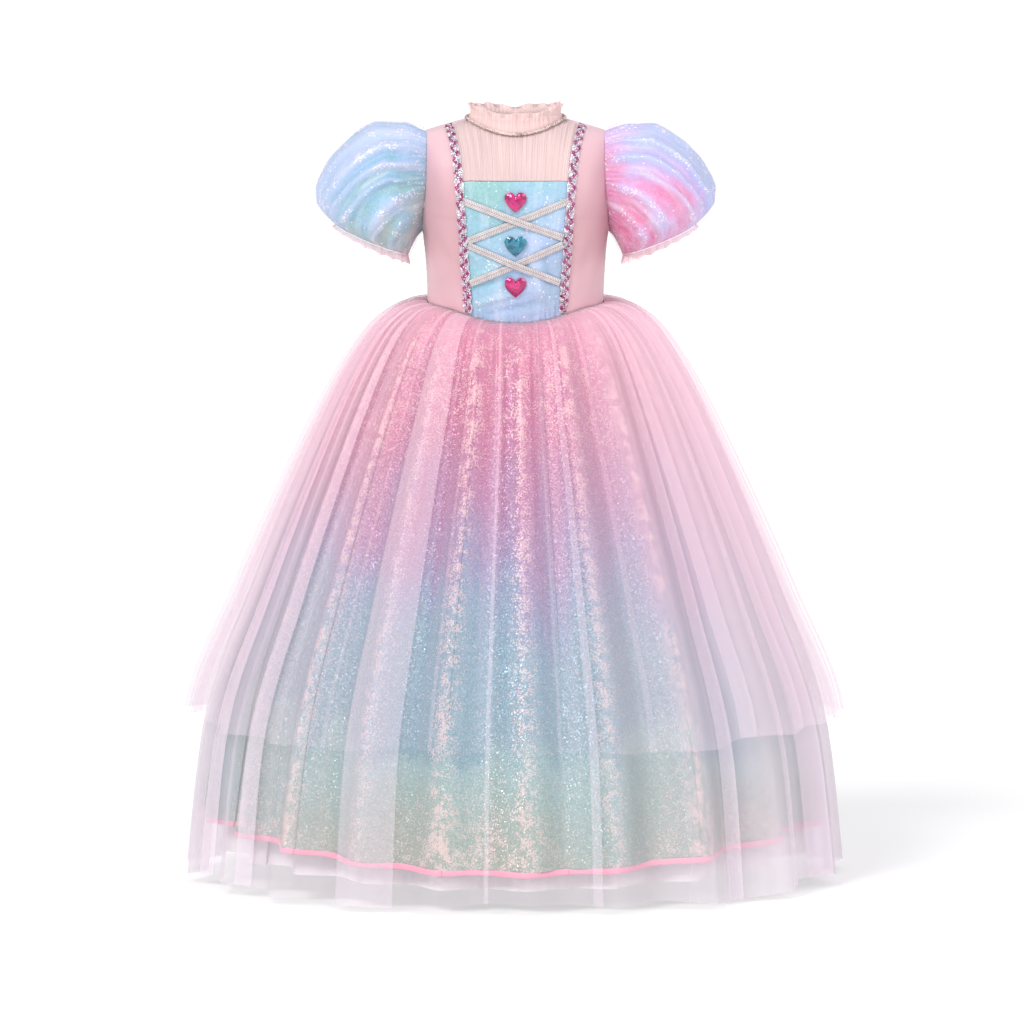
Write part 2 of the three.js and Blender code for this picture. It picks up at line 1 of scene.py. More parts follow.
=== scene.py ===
import math
import bpy
import numpy as np
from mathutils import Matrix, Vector


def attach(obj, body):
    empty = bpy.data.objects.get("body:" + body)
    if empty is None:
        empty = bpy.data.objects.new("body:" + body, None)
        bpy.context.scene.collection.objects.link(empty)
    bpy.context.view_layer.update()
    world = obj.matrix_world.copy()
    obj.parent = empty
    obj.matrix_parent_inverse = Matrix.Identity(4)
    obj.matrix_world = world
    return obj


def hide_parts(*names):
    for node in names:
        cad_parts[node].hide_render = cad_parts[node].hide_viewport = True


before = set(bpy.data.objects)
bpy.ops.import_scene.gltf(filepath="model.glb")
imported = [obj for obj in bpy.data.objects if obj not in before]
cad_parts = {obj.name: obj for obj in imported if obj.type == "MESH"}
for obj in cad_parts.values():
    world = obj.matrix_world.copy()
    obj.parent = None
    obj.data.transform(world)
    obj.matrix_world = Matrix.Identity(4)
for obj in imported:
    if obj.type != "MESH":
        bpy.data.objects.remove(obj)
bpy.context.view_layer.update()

# Studio.
# A plain pale floor that runs out of sight, one wide soft sun from the upper front left, a weaker one
# from the right, and the camera, far off and eight degrees above the middle of the dress.
FLOOR_Z, FLOOR_HALF = -0.9535, 90
LOOK_AT = Vector((-0.0045, 0.0, -0.4885))
CAMERA_RISE = math.radians(8)
CAMERA_AWAY = 60.0
LENS = 27.686 * CAMERA_AWAY
# direction the light comes from, strength, spread in degrees, colour
SUNS = [
    ((-0.6, -0.85, 1.0), 1.95, 20, (1.0, 0.985, 0.975)),
    ((0.9, -0.7, 0.75), 0.82, 40, (1.0, 0.97, 0.985)),
]

scene = bpy.context.scene
scene.view_settings.view_transform = "Standard"
scene.cycles.transparent_max_bounces = 40


def rgb(red, green, blue):
    """A colour given as it looks on the screen, for a shader."""
    return (*[((c / 255 + 0.055) / 1.055) ** 2.4 if c > 10 else c / 3294.6 for c in (red, green, blue)], 1.0)


def put(tree, kind, inputs=None, **settings):
    """Adds a node. Each input is set to a value or joined to another node's output."""
    node = tree.nodes.new(kind)
    for key, value in settings.items():
        setattr(node, key, value)
    for key, value in (inputs or {}).items():
        if isinstance(value, bpy.types.NodeSocket):
            tree.links.new(value, node.inputs[key])
        else:
            node.inputs[key].default_value = value
    return node


def new_material(name, **sockets):
    """A material with its shader's own sockets set, and the tree and shader to add to."""
    material = bpy.data.materials.new(name)
    material.use_nodes = True
    tree = material.node_tree
    shader = tree.nodes["Principled BSDF"]
    for key, value in sockets.items():
        shader.inputs[key.replace("_", " ")].default_value = value
    return material, tree, shader


def feed(tree, shader, **sources):
    """Joins the outputs given to the shader's inputs of the same names."""
    for key, source in sources.items():
        tree.links.new(source, shader.inputs[key.replace("_", " ")])


def mesh_object(name, points, corners):
    """A mesh in the scene, from points in metres and the corners of each face."""
    mesh = bpy.data.meshes.new(name)
    mesh.from_pydata(points, [], corners)
    made = bpy.data.objects.new(name, mesh)
    scene.collection.objects.link(made)
    return made


world = bpy.data.worlds.new("studio air")
world.use_nodes = True
world.node_tree.nodes["Background"].inputs["Color"].default_value = (0.985, 0.985, 1.0, 1.0)
world.node_tree.nodes["Background"].inputs["Strength"].default_value = 0.62
scene.world = world

for number, (towards, strength, spread, colour) in enumerate(SUNS):
    lamp = bpy.data.lights.new(f"sun_{number}", "SUN")
    lamp.energy, lamp.angle, lamp.color = strength, math.radians(spread), colour
    sun = bpy.data.objects.new(f"sun_{number}", lamp)
    sun.rotation_euler = Vector(towards).to_track_quat("Z", "Y").to_euler()
    scene.collection.objects.link(sun)

camera = bpy.data.objects.new("camera", bpy.data.cameras.new("camera"))
camera.data.lens = LENS
camera.data.clip_end = 300
camera.location = LOOK_AT + CAMERA_AWAY * Vector((0, -math.cos(CAMERA_RISE), math.sin(CAMERA_RISE)))
camera.rotation_euler = (LOOK_AT - camera.location).to_track_quat("-Z", "Y").to_euler()
scene.collection.objects.link(camera)
scene.camera = camera

floor_corners = [(x * FLOOR_HALF, y * FLOOR_HALF, FLOOR_Z) for x, y in ((-1, -1), (1, -1), (1, 1), (-1, 1))]
floor = mesh_object("floor", floor_corners, [(0, 1, 2, 3)])
paper, tree, shader = new_material("studio paper", Roughness=0.9, Specular_IOR_Level=0.1,
                                   Emission_Color=(1, 1, 1, 1), Emission_Strength=0.42)
mottle = put(tree, "ShaderNodeTexNoise", {"Scale": 3.0, "Detail": 2.0})
tone = put(tree, "ShaderNodeMix", {0: mottle.outputs[0], 6: (0.60, 0.60, 0.61, 1), 7: (0.62, 0.62, 0.62, 1)},
           data_type="RGBA")
feed(tree, shader, Base_Color=tone.outputs[2])
floor.data.materials.append(paper)

# Satin bodice.
# Two side fronts, two backs and the strip that laps the back opening, cut from a soft pink satin with a
# thin backing. They are sewn together at the sides and shoulders, and turned in at neck and armholes.
MM = 0.001
SEAM_GAP = 0.4
SATIN = 1.1
CHEST_Z = -100
WAIST_SIDE_Z = -218
SHOULDER_NECK_Z, SHOULDER_NECK_X, SHOULDER_TIP_X = 15, 57, 113
# rise, half width, depth in front, depth behind, squareness of the oval
FIGURE = np.array([
    (0.0, 112, 82, 72, 2.5),
    (0.5, 114, 88, 77, 2.5),
    (0.8, 119, 91, 82, 2.5),
    (1.0, 123, 91, 84, 2.6),
    (2.0, 115, 90, 84, 4.0),
])
HALF_WIDTH, FRONT_DEPTH, BACK_DEPTH, SQUARE = 1, 2, 3, 4
TRIM_SEAM = np.array([(0.0, 60), (0.6, 65), (1.24, 71.5), (2.0, 85)])
ARMHOLE_Z, ARMHOLE_HALF_HEIGHT, ARMHOLE_HALF_DEPTH = -64, 64, 46
NECK_HALF_WIDTH, NECK_FRONT, NECK_BACK, NECK_Y = 60, 52, 50, 2
WAIST_DIP, FRONT_ROUNDING, BACK_ROUNDING = 17, 2.2, 3.2


def along(keys, values, at):
    """Reads a table smoothly at some keys, and never past the two values on either side."""
    at = np.asarray(at, float)
    i = np.clip(np.searchsorted(keys, at, side="right") - 1, 0, len(keys) - 2)
    share = (at - keys[i]) / (keys[i + 1] - keys[i])
    before, after = values[np.maximum(i - 1, 0)], values[np.minimum(i + 2, len(keys) - 1)]
    low, high = values[i], values[i + 1]
    smooth = low + 0.5 * (
        (high - before) * share
        + (2 * before - 5 * low + 4 * high - after) * share**2
        + (3 * low - before - 3 * high + after) * share**3
    )
    return np.clip(smooth, np.minimum(low, high), np.maximum(low, high))


def by_row(table, column, at):
    """Reads a column of a table at row numbers with fractions."""
    return along(np.arange(len(table), dtype=float), table[:, column], at)


def figure(column, rise):
    """One measure of the worn form at a rise."""
    return along(FIGURE[:, 0], FIGURE[:, column], rise)


def search(holds, low, high):
    """The values between two ends at which a test that holds at the low end stops holding."""
    for _ in range(30):
        middle = (low + high) / 2
        yes = holds(middle)
        low, high = np.where(yes, middle, low), np.where(yes, high, middle)
    return high


def waist_z(angle):
    """The height of the waist seam, which dips to a point in front."""
    return WAIST_SIDE_Z - WAIST_DIP * ((1 + np.cos(angle)) / 2) ** 12


def shoulder_z(x):
    """The height of the shoulder seam, which slopes down from the neck."""
    away = (np.abs(x) - SHOULDER_NECK_X) / (SHOULDER_TIP_X - SHOULDER_NECK_X)
    return SHOULDER_NECK_Z * (1 - np.maximum(away, 0))


def rounding(front):
    """How squarely the form turns over from the chest to the shoulder."""
    return FRONT_ROUNDING if front else BACK_ROUNDING


def on_figure(angle, rise, front):
    """Points of the worn form: rise is 0 at the waist, 1 at the chest and 2 at the shoulder seam."""
    angle, rise = np.broadcast_arrays(np.asarray(angle, float), np.asarray(rise, float))
    power = 2 / figure(SQUARE, rise)
    x = figure(HALF_WIDTH, rise) * np.abs(np.sin(angle)) ** power * np.sign(np.sin(angle))
    depth = figure(FRONT_DEPTH if front else BACK_DEPTH, rise) * np.abs(np.cos(angle)) ** power
    low = waist_z(angle)
    tilt = (np.clip(rise, 1, 2) - 1) * np.pi / 2
    over = CHEST_Z + (shoulder_z(x) - CHEST_Z) * np.sin(tilt) ** (2 / rounding(front))
    z = np.where(rise > 1, over, low + SEAM_GAP + (CHEST_Z - low) * rise)
    depth = depth * np.where(rise > 1, np.abs(np.cos(tilt)) ** (2 / rounding(front)), 1.0)
    return np.stack([x, (depth + SEAM_GAP / 2) * (-1 if front else 1), z], -1)


def angle_at(x, rise):
    """The angle round the form at which it reaches some x."""
    share = np.minimum(np.abs(x) / figure(HALF_WIDTH, rise), 1)
    return np.arcsin(share ** (figure(SQUARE, rise) / 2)) * np.sign(x)


def rise_at(x, z, front=True):
    """The rise at which the front or back reaches a height, at some x."""
    share = np.clip((z - CHEST_Z) / (shoulder_z(x) - CHEST_Z), 0, 1)
    above = 1 + np.arcsin(share ** (rounding(front) / 2)) / (np.pi / 2)
    bottom = waist_z(angle_at(x, 0.5))
    return np.where(z > CHEST_Z, above, (z - bottom - SEAM_GAP) / (CHEST_Z - bottom))


def on_front(x, z):
    """The points of the front at some x and height."""
    x, z = np.broadcast_arrays(np.asarray(x, float), np.asarray(z, float))
    rise = rise_at(x, z)
    return on_figure(angle_at(x, rise), rise, True)


def trim_x(rise):
    """How far from the middle the seam under the braid runs."""
    return along(TRIM_SEAM[:, 0], TRIM_SEAM[:, 1], rise)


def armhole_angle(rise, front):
    """The angle round the figure at which a front or back panel ends in the armhole."""
    tilt = (np.clip(rise, 1, 1.985) - 1) * np.pi / 2
    rounded = 2 / rounding(front)
    at_side = on_figure(np.pi / 2, rise, front)[..., 2]
    z = np.where(rise <= 1, at_side, CHEST_Z * (1 - np.sin(tilt) ** rounded))
    deep = ARMHOLE_HALF_DEPTH * np.sqrt(np.maximum(1 - ((z - ARMHOLE_Z) / ARMHOLE_HALF_HEIGHT) ** 2, 0))
    reach = figure(FRONT_DEPTH if front else BACK_DEPTH, rise) * np.cos(tilt) ** rounded
    angle = np.arccos(np.minimum(deep / reach, 1) ** (figure(SQUARE, rise) / 2))
    return angle if front else np.pi - angle


def rise_to_neck(angle_of, columns, front):
    """How far up each column of a panel gets before it meets the neck ring."""
    def below(rise):
        x, y, _ = np.moveaxis(on_figure(angle_of(rise), rise, front), -1, 0)
        return np.hypot(x / NECK_HALF_WIDTH, (y - NECK_Y) / (NECK_FRONT if front else NECK_BACK)) > 1
    return search(below, np.ones(columns), np.full(columns, 2.0))


def unit_length(vectors):
    """The same directions, each one unit long."""
    return vectors / (np.linalg.norm(vectors, axis=-1, keepdims=True) + 1e-9)


def facing_out(points, centre, closed=False):
    """The direction square to a grid of points that leads away from a centre line or point."""
    if closed:
        across = np.roll(points, -1, 1) - np.roll(points, 1, 1)
    else:
        across = np.gradient(points, axis=1)
    normal = unit_length(np.cross(across, np.gradient(points, axis=0)))
    return normal * (1 if (normal * (points - centre)).sum() > 0 else -1)


def raised(points, height, centre=None, closed=False):
    """The grid with each point moved out by its height, square to the surface."""
    if centre is None:
        centre = points * [0, 0, 1]
    return points + facing_out(points, centre, closed) * np.asarray(height)[..., None]


def bell(off, width):
    """1 along the middle of a ridge, a crease or a seam, and near nothing at twice the width from it."""
    return np.exp(-((off / width) ** 2))


def pressed(across, up, creases):
    """The height that the listed creases give: a row is x, z at either end, the width and the height."""
    total = np.zeros(np.broadcast(across, up).shape)
    for x0, z0, x1, z1, width, height in creases:
        run_x, run_z = x1 - x0, z1 - z0
        share = np.clip(((across - x0) * run_x + (up - z0) * run_z) / (run_x**2 + run_z**2), 0, 1)
        off = np.hypot(across - x0 - share * run_x, up - z0 - share * run_z)
        total = total + height * bell(off, width) * np.sin(np.pi * (0.1 + 0.8 * share))
    return total


def join_grids(name, grids, closed=True):
    """One smooth mesh of several grids in millimetres, each closed round or left open."""
    vertices, corners, start = [], [], 0
    for points in grids:
        rows, columns = points.shape[:2]
        spans = columns if closed else columns - 1
        number = np.arange(rows * columns).reshape(rows, columns) + start
        left, right = number[:, :spans], np.roll(number, -1, 1)[:, :spans]
        corners.append(np.stack([left[:-1], right[:-1], right[1:], left[1:]], -1).reshape(-1, 4))
        vertices.append(points.reshape(-1, 3))
        start += rows * columns
    vertices, corners = np.concatenate(vertices) * MM, np.concatenate(corners)
    piece = mesh_object(name, vertices.tolist(), corners.tolist())
    piece.data.polygons.foreach_set("use_smooth", np.ones(len(corners), bool))
    return piece


def cloth(name, points, closed=False, thick=0.0, marks=None):
    """A piece of cloth from a grid of points in millimetres. Its map, also called cloth, holds the width
    and length along it in metres, and marks are values for the material, one for each point."""
    rows, columns = points.shape[:2]
    spans = columns if closed else columns - 1
    piece = join_grids(name, [points], closed)
    ends = np.concatenate([points, points[:, :1]], 1) if closed else points
    width = np.linalg.norm(np.diff(ends, axis=1), axis=2).sum(1).max() * MM
    length = np.concatenate([[0], np.cumsum(np.linalg.norm(np.diff(points, axis=0), axis=2).mean(1))]) * MM
    u0, u1 = np.arange(spans) / spans * width, (np.arange(spans) + 1) / spans * width
    flat = np.empty((rows - 1, spans, 4, 2))
    flat[..., 0] = np.stack([u0, u1, u1, u0], -1)[None]
    flat[..., 0, 1] = flat[..., 1, 1] = length[:-1, None]
    flat[..., 2, 1] = flat[..., 3, 1] = length[1:, None]
    piece.data.uv_layers.new(name="cloth").data.foreach_set("uv", flat.ravel())
    for label, values in (marks or {}).items():
        every = np.broadcast_to(values, (rows, columns)).ravel()
        piece.data.attributes.new(label, "FLOAT", "POINT").data.foreach_set("value", every)
    if thick:
        shell = piece.modifiers.new("thickness", "SOLIDIFY")
        shell.thickness, shell.offset = thick * MM, 0
    return piece


def sew(piece, slot, material, *nodes):
    """Puts a finished piece on the dress, fixed to the root body, with its material, and hides the solids
    that it stands for. The slot is not used.
    """
    piece.data.materials.append(material)
    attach(piece, "root")
    if nodes:
        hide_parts(*nodes)


def effect(name, inputs, outputs):
    """A shader node group with float inputs and the outputs named, and its two ends."""
    group = bpy.data.node_groups.new(name, "ShaderNodeTree")
    for socket, value in inputs.items():
        made = group.interface.new_socket(socket, in_out="INPUT", socket_type="NodeSocketFloat")
        made.default_value = value
    for socket, kind in outputs.items():
        group.interface.new_socket(socket, in_out="OUTPUT", socket_type="NodeSocket" + kind)
    return group, group.nodes.new("NodeGroupInput").outputs, group.nodes.new("NodeGroupOutput").inputs


def use(tree, group, **values):
    """Places a node group with its own values, and gives its outputs."""
    named = {key.replace("_", " "): value for key, value in values.items()}
    return put(tree, "ShaderNodeGroup", named, node_tree=group).outputs


def maths(tree, operation, *values, clamped=False):
    """The output of a Math node on numbers or other nodes' outputs."""
    settings = {"operation": operation, "use_clamp": clamped}
    return put(tree, "ShaderNodeMath", dict(enumerate(values)), **settings).outputs[0]


def vector(tree, operation, *values, **more):
    """The first output of a Vector Math node."""
    inputs = {**dict(enumerate(values)), **more}
    return put(tree, "ShaderNodeVectorMath", inputs, operation=operation).outputs[0]


def mark(tree, name):
    """The values that a mesh carries for its material, one for each point."""
    return put(tree, "ShaderNodeAttribute", attribute_name=name).outputs["Fac"]


def bumped(tree, height, strength, distance, **more):
    """The normal that a height gives."""
    inputs = {"Strength": strength, "Distance": distance, "Height": height, **more}
    return put(tree, "ShaderNodeBump", inputs).outputs[0]


# Threads of a woven cloth, as a height
weave, given, gives = effect("thread weave", {"Threads": 800.0}, {"Height": "Float"})
turned = maths(weave, "MULTIPLY", given["Threads"], 2 * math.pi)
flat_cloth = put(weave, "ShaderNodeUVMap", uv_map="cloth").outputs[0]
axes = put(weave, "ShaderNodeSeparateXYZ", {0: vector(weave, "SCALE", flat_cloth, Scale=turned)}).outputs
warp, weft = (maths(weave, "SINE", axes[i]) for i in (0, 1))
weave.links.new(maths(weave, "MULTIPLY", warp, weft), gives["Height"])

# Streaks along the cloth's length, as fine gathers and slubs leave them
streaks, given, gives = effect("gather streaks", {"Across": 300.0, "Along": 4.0, "Contrast": 1.0},
                               {"Mask": "Float"})
flat_cloth = put(streaks, "ShaderNodeUVMap", uv_map="cloth").outputs[0]
axes = put(streaks, "ShaderNodeSeparateXYZ", {0: flat_cloth}).outputs
wide = maths(streaks, "MULTIPLY", axes[0], given["Across"])
long = maths(streaks, "MULTIPLY", axes[1], given["Along"])
both = put(streaks, "ShaderNodeCombineXYZ", {0: wide, 1: long}).outputs[0]
noise = put(streaks, "ShaderNodeTexNoise", {"Vector": both, "Scale": 1.0, "Detail": 3.0, "Roughness": 0.6})
centred = maths(streaks, "SUBTRACT", noise.outputs[0], 0.5)
strong = maths(streaks, "MULTIPLY_ADD", centred, given["Contrast"], 0.5, clamped=True)
streaks.links.new(strong, gives["Mask"])

# Slow changes of tone over the piece
clouds, given, gives = effect("tone clouds", {"Scale": 8.0, "Contrast": 2.0}, {"Mask": "Float"})
where = put(clouds, "ShaderNodeTexCoord").outputs["Object"]
noise = put(clouds, "ShaderNodeTexNoise", {"Vector": where, "Scale": given["Scale"], "Detail": 2.0})
centred = maths(clouds, "SUBTRACT", noise.outputs[0], 0.5)
strong = maths(clouds, "MULTIPLY_ADD", centred, given["Contrast"], 0.5, clamped=True)
clouds.links.new(strong, gives["Mask"])


def blend_colours(tree, share, first, second):
    """The first colour where the share is 0 and the second where it is 1."""
    return put(tree, "ShaderNodeMix", {0: share, 6: first, 7: second}, data_type="RGBA").outputs[2]


def spread(tree, value, low, high, from_low=0.0, from_high=1.0):
    """Carries a value from one range over to another."""
    return put(tree, "ShaderNodeMapRange", {"Value": value, "From Min": from_low, "From Max": from_high,
                                            "To Min": low, "To Max": high}).outputs[0]


def ramp(tree, value, stops):
    """Colours along a value, from rows of a place and a colour."""
    node = put(tree, "ShaderNodeValToRGB", {0: value})
    elements = node.color_ramp.elements
    while len(elements) < len(stops):
        elements.new(0.5)
    for element, (place, colour) in zip(elements, stops):
        element.position, element.color = place, colour
    return node.outputs[0]


def slope(tree, towards):
    """How far a point lies in a direction, in metres."""
    where = put(tree, "ShaderNodeTexCoord").outputs["Object"]
    return put(tree, "ShaderNodeVectorMath", {0: where, 1: towards}, operation="DOT_PRODUCT").outputs["Value"]


def satin_material(name, light, shade):
    """Satin with painted shade in a band over height, darkest where it turns down under the chest, over a
    random cloudy tone, with fine fibres and a close weave.
    """
    material, tree, shader = new_material(name, Sheen_Weight=0.35, Sheen_Roughness=0.4,
                                          Specular_IOR_Level=0.35)
    soft = use(tree, clouds, Scale=9.0, Contrast=2.2)["Mask"]
    # Painted shade: a grey band over height, darkest just under the chest, pulls the satin towards its shade
    # colour.
    height = slope(tree, (0, 0, 1))
    greys = ((0.0, 0.3), (0.45, 0.95), (0.75, 0.55), (1.0, 0.0))
    painted_shade_stops = [(place, (grey, grey, grey, 1)) for place, grey in greys]
    painted_shade_band = ramp(tree, spread(tree, height, 0.0, 1.0, -0.22, 0.02), painted_shade_stops)
    tone = maths(tree, "MULTIPLY_ADD", soft, 0.5, painted_shade_band, clamped=True)
    fibre = use(tree, streaks, Across=700.0, Along=60.0, Contrast=1.6)["Mask"]
    threads = maths(tree, "MULTIPLY_ADD", use(tree, weave, Threads=900.0)["Height"], 0.35, fibre)
    feed(tree, shader, Base_Color=blend_colours(tree, tone, light, shade),
         Roughness=spread(tree, fibre, 0.38, 0.55), Normal=bumped(tree, threads, 0.16, 0.0006))
    return material


pink_satin = satin_material("pink satin", rgb(238, 203, 212), rgb(206, 163, 170))

# x, z at one end, x, z at the other, width, height: drag lines from the armhole and the waist
FRONT_CREASES = [
    (112, -128, 78, -168, 9, -1.6),
    (113, -150, 84, -196, 11, 1.3),
    (108, -200, 72, -232, 8, -1.2),
    (98, -30, 88, -90, 9, 1.2),
    (88, -120, 72, -214, 6, 1.0),
]
BACK_CREASES = [
    (106, -120, 40, -170, 12, -1.5),
    (92, -160, 24, -212, 10, 1.2),
    (70, -20, 40, -90, 12, 1.1),
    (60, -200, 14, -150, 9, -1.1),
]
shares, rises = np.linspace(0, 1, 42)[None, :], np.linspace(0, 2, 110)[:, None]
for side, sign in (("right", 1), ("left", -1)):
    start = angle_at(trim_x(rises) + SEAM_GAP / 2, rises)
    stop = np.minimum(armhole_angle(rises, True), np.pi / 2)
    panel = on_figure((start + (stop - start) * shares) * sign, rises, True)
    turned_in = -0.9 * bell(1 - shares, 0.035) - 0.6 * bell(rises, 0.02)
    puckers = 0.22 * np.sin(rises * 95 + sign) * bell(1 - shares, 0.12)
    height = turned_in + puckers + pressed(panel[..., 0] * sign, panel[..., 2] + 3 * sign, FRONT_CREASES)
    piece = cloth("front_side_" + side + "_satin", raised(panel, height - SATIN / 2), thick=SATIN)
    sew(piece, "pink_satin", pink_satin, "front_side_" + side)

    def back_angle(rise):
        start = np.maximum(armhole_angle(rise, False), np.pi / 2)
        return start + (np.pi - angle_at(SEAM_GAP / 2, rise) - start) * shares[0]
    top = rise_to_neck(back_angle, shares.shape[1], False)
    rise = np.minimum(rises, 1) + np.maximum(rises - 1, 0) * (top[None, :] - 1)
    panel = on_figure(back_angle(rise) * sign, rise, False)
    turned_in = -0.9 * bell(shares, 0.03) - 0.5 * bell(1 - shares, 0.02)
    height = turned_in + pressed(panel[..., 0] * sign, panel[..., 2] + 4 * sign, BACK_CREASES)
    piece = cloth("back_" + side + "_satin", raised(panel, height - SATIN / 2), thick=SATIN)
    sew(piece, "pink_satin", pink_satin, "back_" + side)


PLACKET_HALF_WIDTH = 8


def back_rise(level):
    """The rise along the middle of the back, where level 2 is the neck edge."""
    top = rise_to_neck(lambda rise: np.full(1, np.pi), 1, False)[0]
    return np.minimum(level, 1) + np.maximum(level - 1, 0) * (top - 1)


levels = np.linspace(0.03, 1.95, 90)[:, None]
offsets = np.linspace(-PLACKET_HALF_WIDTH, PLACKET_HALF_WIDTH, 15)[None, :]
panel = on_figure(np.pi - angle_at(offsets, back_rise(levels)), back_rise(levels), False)
soft_edge = 1.3 + 0.9 * (1 - (np.abs(offsets) / PLACKET_HALF_WIDTH) ** 6)
soft_edge = soft_edge + 0.2 * np.sin(levels * 40 + offsets / 5)
piece = cloth("back_placket_satin", raised(panel, soft_edge), thick=0.9)
sew(piece, "pink_satin", pink_satin, "back_placket")

# Front panel and yoke.
# The panel behind the lacing is film-coated cloth that turns from aqua to pale blue. The yoke above it is
# one sheer peach mesh, drawn into fine upright gathers between the panel, the two seams and the neck.

# Flecks of film: which carry a painted glint, a tint for each, and a normal that leans its own way
film_flecks, given, gives = effect("film flecks", {"Flakes": 400.0, "Share": 0.1, "Tilt": 0.5},
                                   {"Lit": "Float", "Tint": "Float", "Normal": "Vector"})
where = put(film_flecks, "ShaderNodeTexCoord").outputs["Object"]
cells = put(film_flecks, "ShaderNodeTexVoronoi", {"Vector": where, "Scale": given["Flakes"]})
chances = put(film_flecks, "ShaderNodeSeparateColor", {0: cells.outputs["Color"]}).outputs
lit = maths(film_flecks, "GREATER_THAN", chances[0], maths(film_flecks, "SUBTRACT", 1.0, given["Share"]))
lean = vector(film_flecks, "SUBTRACT", cells.outputs["Color"], (0.5, 0.5, 0.5))
leaned = vector(film_flecks, "SCALE", lean, Scale=given["Tilt"])
square = put(film_flecks, "ShaderNodeNewGeometry").outputs["Normal"]
unit = vector(film_flecks, "NORMALIZE", vector(film_flecks, "ADD", square, leaned))
for output, socket in (("Lit", lit), ("Tint", chances[1]), ("Normal", unit)):
    film_flecks.links.new(socket, gives[output])


def film_material(name, towards, start, end, stops, wander, flecks, share):
    """Film cloth: colours that run in a direction and wander, painted highlight on fold crests and painted
    shade in their hollows, soft sheen, and a scatter of flecks with painted glints.
    """
    material, tree, shader = new_material(name, Metallic=0.1, Specular_IOR_Level=0.3, Coat_Weight=0.08,
                                          Coat_Roughness=0.35)
    drift = use(tree, clouds, Scale=11.0, Contrast=3.4)["Mask"]
    fold = use(tree, streaks, Across=34.0, Along=6.0, Contrast=2.4)["Mask"]
    crest = mark(tree, "crest")
    place = spread(tree, slope(tree, towards), 0.0, 1.0, start, end)
    place = maths(tree, "ADD", spread(tree, drift, -wander, wander), place)
    # Painted highlight and shade: the crest mark moves the colour along its run one way on fold crests and
    # the other way in the hollows, and lightens the crests towards pale lilac.
    colour = ramp(tree, maths(tree, "ADD", spread(tree, crest, 0.14, -0.14), place), stops)
    colour = blend_colours(tree, spread(tree, crest, 0.0, 0.24), colour, rgb(218, 214, 242))
    # Painted highlight: the fold streaks are lightened towards pale blue.
    colour = blend_colours(tree, spread(tree, fold, 0.0, 0.6, 0.52, 1.0), colour, rgb(222, 228, 244))
    # Painted glints: a share of the flecks, larger on fold crests, turns cream, pink or pale aqua.
    gate = use(tree, clouds, Scale=46.0, Contrast=11.0)["Mask"]
    patch = maths(tree, "MULTIPLY", gate, spread(tree, crest, -0.1, 1.0, 0.25, 1.0), clamped=True)
    flakes = use(tree, film_flecks, Flakes=flecks, Share=spread(tree, patch, 0.006, share), Tilt=0.4)
    colour = blend_colours(tree, spread(tree, flakes["Tint"], 0.0, 0.2), colour, rgb(214, 224, 240))
    painted_glint_colours = [(0.0, rgb(255, 240, 222)), (0.5, rgb(250, 225, 240)), (1.0, rgb(214, 245, 245))]
    painted_glint = ramp(tree, flakes["Tint"], painted_glint_colours)
    crumple = use(tree, clouds, Scale=120.0, Contrast=2.0)["Mask"]
    crinkle = maths(tree, "MULTIPLY_ADD", crumple, 0.8, fold)
    plain = bumped(tree, crinkle, 0.45, 0.002)
    leaning = bumped(tree, crinkle, 0.45, 0.002, Normal=flakes["Normal"])
    facing = put(tree, "ShaderNodeMix", {0: flakes["Lit"], 4: plain, 5: leaning}, data_type="VECTOR")
    feed(tree, shader, Base_Color=blend_colours(tree, flakes["Lit"], colour, painted_glint),
         Roughness=spread(tree, patch, 0.55, 0.36), Normal=facing.outputs[1])
    return material


panel_film = film_material("aqua film cloth", (1, 0, -0.35), -0.03, 0.115, [
    (0.0, rgb(120, 182, 176)), (0.3, rgb(128, 186, 200)), (0.55, rgb(146, 188, 216)),
    (0.8, rgb(160, 186, 222)), (1.0, rgb(146, 174, 202))], 0.34, 620.0, 0.09)
# x, z at one end, x, z at the other, width, height
PANEL_CREASES = [
    (-58, -182, -4, -150, 4.5, 1.6),
    (-60, -196, 6, -172, 5.0, -1.5),
    (-57, -214, 22, -190, 4.5, 1.7),
    (-40, -226, 40, -206, 5.0, -1.3),
    (18, -150, 34, -206, 4.0, 1.2),
    (36, -146, 46, -200, 4.0, -1.2),
    (30, -96, 38, -124, 4.0, 1.1),
    (-34, -78, -22, -100, 3.0, 1.0),
    (-50, -100, -30, -124, 4.0, -1.0),
    (-20, -140, 14, -128, 4.0, 0.9),
    (46, -76, 60, -112, 4.0, 0.9),
    (-62, -140, -44, -160, 4.0, 1.2),
]
PANEL_TOP_RISE = 1.24
shares, rises = np.linspace(-1, 1, 110)[None, :], np.linspace(0, PANEL_TOP_RISE, 110)[:, None]
panel = on_figure(angle_at(shares * (trim_x(rises) - SEAM_GAP / 2), rises), rises, True)
waist_gathers = 0.7 * np.sin(shares * 47 + 2 * np.sin(shares * 9)) * bell(rises, 0.16)
folds = pressed(panel[..., 0], panel[..., 2], PANEL_CREASES)
height = folds * 1.1 + waist_gathers - 1.1
# The crest mark is how high each point stands on the creases; the film material paints highlight on crests
# and shade in hollows from it.
crest = np.clip(0.5 + folds * 0.45, 0, 1)
piece = cloth("front_panel_film", raised(panel, height), thick=0.8, marks={"crest": crest})
sew(piece, "iridescent_cloth", panel_film, "front_panel")

